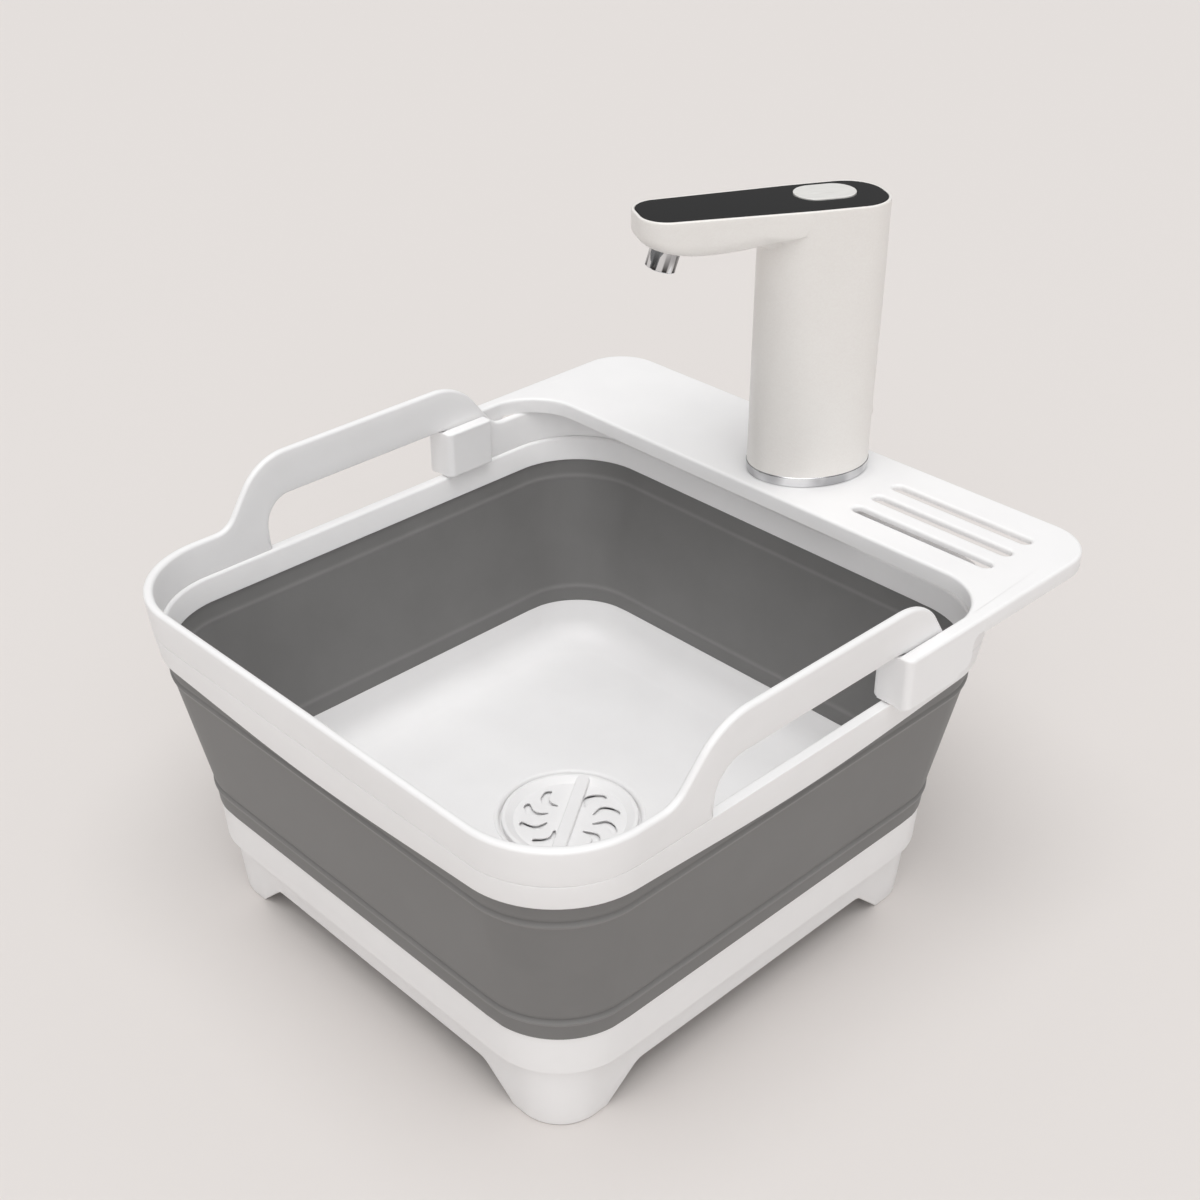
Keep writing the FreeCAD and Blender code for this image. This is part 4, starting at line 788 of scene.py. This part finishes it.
shelf = dict(
    half=163.2, back=197.5, front=121.5, armFront=101.0, armWide=7.0, top=188.0, skin=3.0, corner=25.0,
    bay=30.0, edgeRound=1.5, footRound=0.3, tipRound=3.0, innerTip=1.8, ribInset=4.5, sideRib=11.0,
    pocketRound=13.0, pocketEdge=1.5, ribs=(-31.0, 46.6), ribWide=4.0, slotLeft=57.0, slotRight=138.5,
    slotRows=(141.5, 157.5, 173.5), slotWide=6.4, tapAt=(11.0, 159.6), tapHole=10.05, holeSteps=48)


def shelfOutline():
    # the deck from above: round back corners, and arms that leave its front along the bay's arcs
    half, arm = shelf["half"], shelf["half"] - shelf["armWide"]
    armFront, front, back, tipRound, innerTip = pick(shelf, "armFront front back tipRound innerTip")
    corner, bay = pick(shelf, "corner bay")
    return roundedPath([
        (half, armFront, tipRound), (half, back, corner), (-half, back, corner), (-half, armFront, tipRound),
        (-arm, armFront, innerTip), (-arm, front, bay), (arm, front, bay), (arm, armFront, innerTip)],
        arcStep=5)


def shelfDeck():
    # a skin with its slots and the tap's hole, over a frame whose three pockets leave ribs between them
    top, rib, wide = shelf["top"], shelf["ribWide"], shelf["slotWide"] / 2
    middle = top - shelf["skin"]
    slots = [roundedBox(shelf["slotLeft"], shelf["slotRight"], y - wide, y + wide, wide, arcStep=10)
             for y in shelf["slotRows"]]
    tapHole = shelf["tapAt"] + shelf["tapHole"] * onCircle(fullTurn(shelf["holeSteps"]))
    skin = plate([shelfOutline()] + slots + [tapHole], middle, top, topRound=shelf["edgeRound"])
    low, high = shelf["front"] + shelf["ribInset"], shelf["back"] - shelf["ribInset"]
    side = shelf["half"] - shelf["sideRib"]
    left, right = shelf["ribs"]
    edge, bend = shelf["pocketEdge"], shelf["pocketRound"]
    pockets = [roundedBox(-side, left - rib, low, high, (edge, edge, edge, bend)),
               roundedBox(left, right, low, high, edge),
               roundedBox(right + rib, side, low, high, (edge, edge, bend, edge))]
    walls = plate([shelfOutline()] + pockets, rimTop, middle, footRound=shelf["footRound"])
    openings = ([], [tapHole], slots)
    ceilings = [plate([pocket] + holes, middle, top)[-2] for pocket, holes in zip(pockets, openings)]
    return skin[:-2] + skin[-1:] + walls[:-1] + ceilings


clip = dict(
    inner=143.5, innerOut=150.5, outer=156.0, front=49.0, legBack=78.0, bridgeBack=63.0, top=188.0,
    innerFoot=162.4, bridgeFoot=162.0, outerFoot=161.3, innerRound=3.0, outerRound=3.5, topRound=1.2,
    backRound=1.0, backDrop=0.6, edge=1.0, deckEdge=1.5, tipEdge=0.3, bridgeEdge=0.2, archGap=0.5,
    bridgeRows=12, step=0.4, hair=0.02, lead=0.3,
    cheek=((49.0, 161.3), (86.0, 161.3, 1.2), (86.4, 163.8, 1.0), (95.0, 163.8, 5.0), (95.4, 179.52, 6.0),
           (104.0, 179.52)))


def yzBlock(outline, near, far, edgeRound):
    # a plate drawn in the side view (y, z) and pushed along x from near to far
    return moved(plate([outline], near, far, edgeRound, edgeRound, steps=5), lambda p: p[:, [2, 0, 1]])


def blockLoft(y, low, high, foot, top, bend):
    # rounded rectangles in x and z, one for each y, joined into a block that is closed at both ends; a short
    # lead before and after each arc keeps the flat sides flat
    sizes = np.broadcast_arrays(y, low, high, foot, top, bend)
    y, low, high, foot, top, bend = (np.asarray(size, float)[:, None] for size in sizes)
    arc = np.pad(quarterTurns(5), 1, "edge")
    lead = clip["lead"] * np.array([-1, 0, 0, 0, 0, 0, 0, 1])
    runs = []
    corners = ((high, foot, -1, 1), (high, top, -1, -1), (low, top, 1, -1), (low, foot, 1, 1))
    for k, (x, z, inX, inZ) in enumerate(corners):
        turn = arc[None] + (k - 1) * quarterTurn
        runs.append(np.stack(np.broadcast_arrays(
            x + bend * (inX + np.cos(turn)) - lead * np.sin(turn), y,
            z + bend * (inZ + np.sin(turn)) + lead * np.cos(turn)), -1))
    grid = np.concatenate(runs, 1)
    ring = np.arange(grid.shape[1])[None]
    return [surface(grid, False), (grid[0], ring, True), (grid[-1], ring[:, ::-1], True)]


def clipParts():
    # An outer cheek that runs back into the shelf's arm, an inner leg, and the bridge between them through
    # the grip. Their ends are quarter circles: y goes on by 1 - cosine while the sides ease out by 1 - sine.
    front, legBack, inner, top, outerFoot = pick(clip, "front legBack inner top outerFoot")
    innerRound, outerRound, topRound, backRound = pick(clip, "innerRound outerRound topRound backRound")
    deckEdge, tipEdge, step, hair = pick(clip, "deckEdge tipEdge step hair")
    turn = quarterTurns(8)
    ahead, ease = 1 - np.cos(turn), 1 - np.sin(turn)
    outside = shelf["half"] - hair
    cheekFoot = roundedPath(clip["cheek"], arcStep=10, closed=False)[1:]
    side = np.vstack([[front + outerRound + step, outerFoot], cheekFoot])
    rest = np.zeros(len(side))
    easeOut = np.concatenate([ease, rest])
    y = np.concatenate([front + outerRound * ahead, side[:, 0]])
    foot = np.concatenate([np.full(len(turn), outerFoot), side[:, 1]])
    bend = np.concatenate([tipEdge + (deckEdge - tipEdge) * np.sin(turn), rest + deckEdge])
    cheek = blockLoft(y, clip["outer"], outside - outerRound * easeOut, foot,
                      top - hair - topRound * easeOut, bend)
    y = np.concatenate([front + innerRound * ahead, [front + innerRound + step, legBack - backRound - step],
                        legBack - backRound + backRound * np.sin(turn)])
    inset = np.concatenate([innerRound * ease, [0, 0], backRound * ahead])
    drop = np.concatenate([topRound * ease, [0, 0], clip["backDrop"] * ahead])
    leg = blockLoft(y, inner + inset, clip["innerOut"], clip["innerFoot"], top - drop, clip["edge"])
    y = np.linspace(front + hair, clip["bridgeBack"], clip["bridgeRows"])
    openTop, openRound = pick(handle, "openTop openRound")
    arch = openTop - openRound + np.sqrt(openRound ** 2 - (y - front) ** 2) - clip["archGap"]
    bridge = blockLoft(y, inner + innerRound, outside - outerRound, clip["bridgeFoot"], arch,
                       clip["bridgeEdge"])
    return cheek + leg + bridge


def mirroredX(parts):
    # the same surfaces on the other side of the middle plane, with their faces turned round to stay outward
    return [(points * [-1, 1, 1], faces[:, ::-1], flat) for points, faces, flat in parts]


clips = clipParts()
makePiece("shelfDeck", moved(shelfDeck() + clips + mirroredX(clips), atBasin), "rim", "white_polypropylene",
          ["shelf"])
print("shelf made")


# Tap, drawn with its spout along +x and its foot at height 0, then turned into place

tap = dict(
    turn=241.5, place=(11.0, 138.35, 188.0), half=32.0, radius=21.0, footRadius=25.0, backRound=19.0,
    height=143.2, ringTop=5.5, armFoot=125.2, armStart=12.0, reach=94.3, tipHalf=17.6, tipRound=14.0,
    sideRound=88.0, rise=math.tan(math.radians(11)), riseFrom=70.0, riseSoft=8.0, hollow=7.0,
    hollowFrom=72.0, hollowTo=12.0, hollowEnd=1.1, fillet=4.0, fadeWide=1.0, underRound=6.0, rimWide=1.5,
    rimRound=0.7, rimEdge=0.25, panelDeep=2.5, thick=2.8, spacing=1.6, headSpacing=0.4, footSteps=160,
    columnRings=28, outRings=14, upRings=8, sideRings=6, rimRings=4)


def tapPlace(points):
    # turned about the upright axis, then moved to the tap's place on the shelf
    return turned(points, tap["turn"], 0, 1) + tap["place"]


def columnHead():
    # section of the column under the spout: straight sides, a round front and a squarer back
    half, radius, back = pick(tap, "half radius backRound")
    return roundedBox(half, -half, radius, -radius, (radius, back, back, radius), arcStep=4)


def columnFoot():
    # section of the column at its foot: an ellipse
    return onCircle(fullTurn(tap["footSteps"])) * [tap["half"], tap["footRadius"]]


def tapPlan():
    # the tap from above: the column's squarish back, easing along the spout to its narrower rounded tip
    half, radius, back, armStart, sideRound = pick(tap, "half radius backRound armStart sideRound")
    reach, tipHalf, tipRound = pick(tap, "reach tipHalf tipRound")
    return evenly(roundedPath([
        (-half, radius, back), (-half, -radius, back), (armStart, -radius, sideRound),
        (reach, -tipHalf, tipRound), (reach, tipHalf, tipRound), (armStart, radius, sideRound)],
        arcStep=2), tap["spacing"], closed=True)


def reachAt(loop, bearing):
    # distance from the axis to a loop along each bearing
    angles = np.arctan2(loop[:, 1], loop[:, 0])
    order = np.argsort(angles)
    return np.interp(bearing, angles[order], np.hypot(loop[:, 0], loop[:, 1])[order], period=2 * math.pi)


def underside(x):
    # level of the spout's underside: it arches up to the column by a square, and rises softly to the tip
    past = x - tap["riseFrom"]
    arch = np.clip((tap["hollowFrom"] - x) / (tap["hollowFrom"] - tap["hollowTo"]), 0, tap["hollowEnd"]) ** 2
    tip = tap["rise"] * (past + np.sqrt(past * past + tap["riseSoft"] ** 2)) / 2
    return tap["armFoot"] + tap["hollow"] * arch + tip


def smoothStep(share):
    # 3 times the square less 2 times the cube, which starts and ends level
    return share * share * (3 - 2 * share)


def tapShell():
    # Rings from the foot to the top. The column's rings turn from its foot to its head by a smooth step of
    # the height. Then they run out under the spout: by its overhang (plan minus column) they leave the column
    # along a fillet and round up at the outer edge. Where the overhang fades away at the column's sides, the
    # same rings climb the wall at even steps instead. Last come the side, the rim round the panel and the
    # inner face.
    low, top, thick, armFoot = pick(tap, "ringTop height thick armFoot")
    rimRound, rimWide, rimEdge = pick(tap, "rimRound rimWide rimEdge")
    plan = tapPlan()
    bearing = np.arctan2(plan[:, 1], plan[:, 0])
    far = np.hypot(plan[:, 0], plan[:, 1])
    near = np.minimum(reachAt(evenly(columnHead(), tap["headSpacing"], closed=True), bearing), far)
    foot = reachAt(columnFoot(), bearing)
    way = onCircle(bearing)
    overhang = far - near
    turnUp = np.minimum(tap["underRound"], overhang / 2)
    fillet = np.minimum(tap["fillet"], overhang / 2)
    bold = smoothStep(np.clip(overhang / tap["fadeWide"], 0, 1))
    lowest, highest = armFoot - tap["fillet"], armFoot + tap["underRound"]
    rings = []

    def ring(out, z):
        # points at a distance along each bearing, at one height or a height for each
        rings.append(atHeight(way * out[:, None], z))

    for share in np.linspace(0, 1, tap["columnRings"] + 1):
        ring(foot + (near - foot) * smoothStep(share), low + (lowest - low) * share)
    evenSteps = tap["hollow"] + np.linspace(lowest, highest, tap["outRings"] + tap["upRings"] + 1)[1:]
    for turn, even in zip(quarterTurns(tap["outRings"])[1:], evenSteps):
        along = (overhang - turnUp) * math.sin(turn) ** 2
        sink = fillet - np.sqrt(fillet ** 2 - np.clip(fillet - along, 0, None) ** 2)
        out = near + along
        ring(out, even + bold * (underside(out * way[:, 0]) - sink - even))
    edge = underside((far - turnUp) * way[:, 0])
    for turn, even in zip(quarterTurns(tap["upRings"])[1:], evenSteps[tap["outRings"]:]):
        level = edge + turnUp * (1 - math.cos(turn))
        ring(far - turnUp + turnUp * math.sin(turn), even + bold * (level - even))
    wallFrom = rings[-1][:, 2]
    for share in np.linspace(0, 1, tap["sideRings"] + 1)[1:]:
        ring(far, wallFrom + (top - rimRound - wallFrom) * share)
    floor = top - tap["panelDeep"]
    rim = [(rimRound * (1 - math.cos(turn)), top - rimRound * (1 - math.sin(turn)))
           for turn in quarterTurns(tap["rimRings"])[1:]]
    rim += [(rimWide - rimEdge, top), (rimWide, top - rimEdge), (rimWide, floor), (thick, floor)]
    inward = sideNormals(plan)
    rings += [atHeight(plan + inward * offset, z) for offset, z in rim]
    ring(near - thick, lowest)
    ring(foot - thick, low)
    return surface(np.stack(rings, 1))


port = dict(half=4.6, radius=1.8, z=30.0, near=-36.0, far=-27.0, edgeRound=0.1, spacing=0.8)


def capsuleBlock(size):
    # a long hole's outline in the side view, pushed along x
    half, radius = size["half"], size["radius"]
    loop = roundedBox(half, -half, radius, -radius, radius) + [0, size["z"]]
    return yzBlock(evenly(loop, size["spacing"], closed=True), size["near"], size["far"], size["edgeRound"])


makePiece("tapHousing", moved([tapShell()], tapPlace), "tap", "pearl_white_abs", ["tap_housing"],
          hole=moved(capsuleBlock(port), tapPlace))

panel = dict(
    inset=1.62, thick=2.5, edgeRound=0.35, buttonAt=(-1.8, -4.8), buttonHalf=15.6, buttonRadius=10.6,
    buttonFit=0.3, buttonDeep=1.8, proud=0.5, buttonRound=0.35)


def buttonLoop(grow):
    # a rectangle with fully round ends, grown on all sides
    half, radius = panel["buttonHalf"] + grow, panel["buttonRadius"] + grow
    return roundedBox(half, -half, radius, -radius, radius, arcStep=5) + panel["buttonAt"]


panelLoop = tapPlan() + sideNormals(tapPlan()) * panel["inset"]
panelFoot = tap["height"] - panel["thick"]
panelParts = plate([panelLoop, buttonLoop(panel["buttonFit"])], panelFoot, tap["height"],
                   topRound=panel["edgeRound"])
makePiece("topPanel", moved(panelParts, tapPlace), "tap", "black_gloss_panel", ["top_panel"])
buttonParts = plate([buttonLoop(0)], panelFoot - panel["buttonDeep"], tap["height"] + panel["proud"],
                    topRound=panel["buttonRound"], steps=6)
makePiece("powerButton", moved(buttonParts, tapPlace), "button", "silver_button", ["power_button"])

trim = dict(foot=0.1, top=5.5, proud=0.4, wall=1.6, taper=0.5, edgeRound=0.5)
trimSection = roundedPath([
    (trim["proud"] - trim["taper"], trim["foot"], trim["edgeRound"]),
    (trim["proud"], trim["top"], trim["edgeRound"]), (-trim["wall"], trim["top"]),
    (-trim["wall"], trim["foot"])], arcStep=15)
trimParts = moved([carried(columnFoot(), trimSection)], tapPlace)
makePiece("chromeRing", trimParts, "tap", "chrome_trim", ["base_ring"])

spoutEnd = dict(
    place=(78.3, 0, 126.92), tilt=16.0, radius=7.5, length=11.4, seal=0.9, mouth=5.8, shank=6.0,
    socket=3.08, edgeRound=0.6, floor=2.2, ledge=-2.8, around=144, flutes=8, fluteTurn=0.4, fluteDeep=0.35,
    fluteSharp=2.2, hair=0.05)


def spoutPlace(points):
    # tilted in the spout's upright plane, moved to its tip, then placed with the tap
    return tapPlace(turned(points, spoutEnd["tilt"], 0, 2) + spoutEnd["place"])


def nozzleParts():
    # a turned sleeve whose grip is fluted: its radius shrinks by a clipped cosine of the angle, and the same
    # mask marks where a dark reflection is painted
    radius, inner, shank, socket, floor, ledge = pick(spoutEnd, "radius mouth shank socket floor ledge")
    edge, hair = spoutEnd["edgeRound"], spoutEnd["hair"]
    head = -spoutEnd["seal"]
    mouth = head - spoutEnd["length"]
    section = roundedPath([
        (shank, floor), (socket, floor), (socket, ledge), (inner, ledge), (inner, mouth, edge),
        (radius, mouth, edge), (radius, head, edge), (shank, head)], arcStep=15)
    grid, faces, flat = lathe(section, spoutEnd["around"])
    turn = np.arctan2(grid[..., 1], grid[..., 0])
    wave = np.cos(turn * spoutEnd["flutes"] + spoutEnd["fluteTurn"]) * spoutEnd["fluteSharp"]
    out, z = section[:, 0], section[:, 1]
    onGrip = (out > radius - hair) * (z < head - edge) * (z > mouth + edge - hair)
    grooveAndReflection = np.clip(wave, 0, 1) * onGrip[None]
    grid[..., :2] *= (1 - grooveAndReflection * spoutEnd["fluteDeep"] / radius)[..., None]
    return moved([(grid, faces, flat)], spoutPlace), grooveAndReflection


nozzleShape, paintedReflectionMarks = nozzleParts()
nozzle = makePiece("chromeNozzle", nozzleShape, "tap", "chrome_trim", ["nozzle"], finish=chromeWithPaintedReflections)
# the flute mask, where the chrome's colour is darkened as a painted reflection
markPoints(nozzle, "grooveAndReflection", paintedReflectionMarks)

flap = dict(near=-32.7, far=-31.8, z=30.0, half=6.5, radius=3.4, edgeRound=0.4, spacing=0.8)


def flapPlace(points):
    # bent round the ellipse of the column's foot: x goes on by half less half / radius times the root of
    # radius ** 2 - y ** 2
    half, radius = tap["half"], tap["footRadius"]
    bend = half - half / radius * np.sqrt(radius ** 2 - points[:, 1:2] ** 2)
    return tapPlace(points + bend * [1, 0, 0])


makePiece("portCover", moved(capsuleBlock(flap), flapPlace), "cover", "black_rubber", ["port_cover"],
          finish=flapRubber)
print("tap made")


# Finishes of the CAD nodes that stay as they are

keptFinishes = {
    "black_rubber": "drain_gasket nozzle_seal", "white_polypropylene": "drain_locknut",
    "circuit_board": "control_board", "steel": "board_screws base_screws motor_shaft charge_socket",
    "dark_nylon": "tact_switch base_plate hose_barb tap_washer tap_locknut pump_housing pump_cover impeller "
                  "battery_carrier aerator_screen",
    "motor_can": "pump_motor", "cell_wrap": "battery_cell", "clear_silicone": "riser_tube",
}
for slotName, nodes in keptFinishes.items():
    for keptNode in pick(frame["nodes"], nodes):
        keptNode.data.materials.clear()
        keptNode.data.materials.append(finishes[slotName])
print("kept nodes dressed")


# Studio: a wide pale floor, a sky that dims to the horizon, a wide soft key from above and a weak front fill

studio = dict(
    floorLook=dict(light="#dfdad7", dark="#dfdad7", cloudMm=900,
                   shader={"Roughness": 0.85, "Specular IOR Level": 0.2}),
    floorDrop=0.2, floorSteps=96, floorRings=(0.0, 400.0, 1200.0, 3500.0, 9000.0), backdrop="#e5e0dd",
    skyLook=dict(light="#c6c6c6", dark="#808080"), skyFrom=0.12, skyTo=0.7, skyStrength=0.97,
    lamps=dict(softKey=dict(strength=1.53, angle=48.0, side=(0.14, -0.14, 1.0)),
               softFill=dict(strength=0.7, angle=60.0, side=(0.66, -0.64, 0.5))))


def painted(tree, shader, coords, look):
    # matt paint: one even pale tint
    tintBetween(tree, shader, speckle(tree, coords, look["cloudMm"]), look)


def studioFloor():
    # flat rings about the middle, walked clockwise so that the faces point up
    rings = np.array(studio["floorRings"])
    clockwise = onCircle(-fullTurn(studio["floorSteps"]))
    grid = atHeight(clockwise[:, None] * rings[None, :, None], -studio["floorDrop"])
    mesh = joinedMesh("studioFloor", [surface(grid, True, False)])
    mesh.materials.append(newFinish("matt painted floor", painted, studio["floorLook"]))
    floor = addObject("studioFloor", mesh)


def facing(direction):
    # the turn that points the back of a lamp or camera along the direction
    return Vector(direction).to_track_quat("Z", "Y").to_euler()


studioFloor()
world = bpy.data.worlds.new("studio")
bpy.context.scene.world = world
world.use_nodes = True
tree = world.node_tree
tree.nodes.clear()
coords = addNode(tree, "ShaderNodeTexCoord").outputs["Generated"]
upward = addNode(tree, "ShaderNodeSeparateXYZ", links={"Vector": coords}).outputs["Z"]
skyColour = rampBetween(tree, upward, studio["skyLook"], studio["skyFrom"], studio["skyTo"])
sky = addNode(tree, "ShaderNodeBackground", {"Strength": studio["skyStrength"]}, {"Color": skyColour})
backdrop = addNode(tree, "ShaderNodeBackground", {"Color": linear(studio["backdrop"])})
cameraRay = addNode(tree, "ShaderNodeLightPath").outputs["Is Camera Ray"]
seen = addNode(tree, "ShaderNodeMixShader", links={"Fac": cameraRay, 1: sky, 2: backdrop})
addNode(tree, "ShaderNodeOutputWorld", links={"Surface": seen})
for lampName, look in studio["lamps"].items():
    lampData = bpy.data.lights.new(lampName, "SUN")
    lampData.energy = look["strength"]
    lampData.angle = math.radians(look["angle"])
    addObject(lampName, lampData).rotation_euler = facing(look["side"])

shot = dict(place=(522.6, -506.45, 602.7), aim=(-10.4, 10.15, 151.1), lens=52.92, sensor=36.0)
cameraData = bpy.data.cameras.new("photoCamera")
cameraData.lens = shot["lens"]
cameraData.sensor_width = shot["sensor"]
camera = addObject("photoCamera", cameraData)
camera.location = Vector(shot["place"]) * mm
camera.rotation_euler = facing(Vector(shot["place"]) - Vector(shot["aim"]))
bpy.context.scene.camera = camera
bpy.context.scene.view_settings.view_transform = "Standard"
print("studio ready")
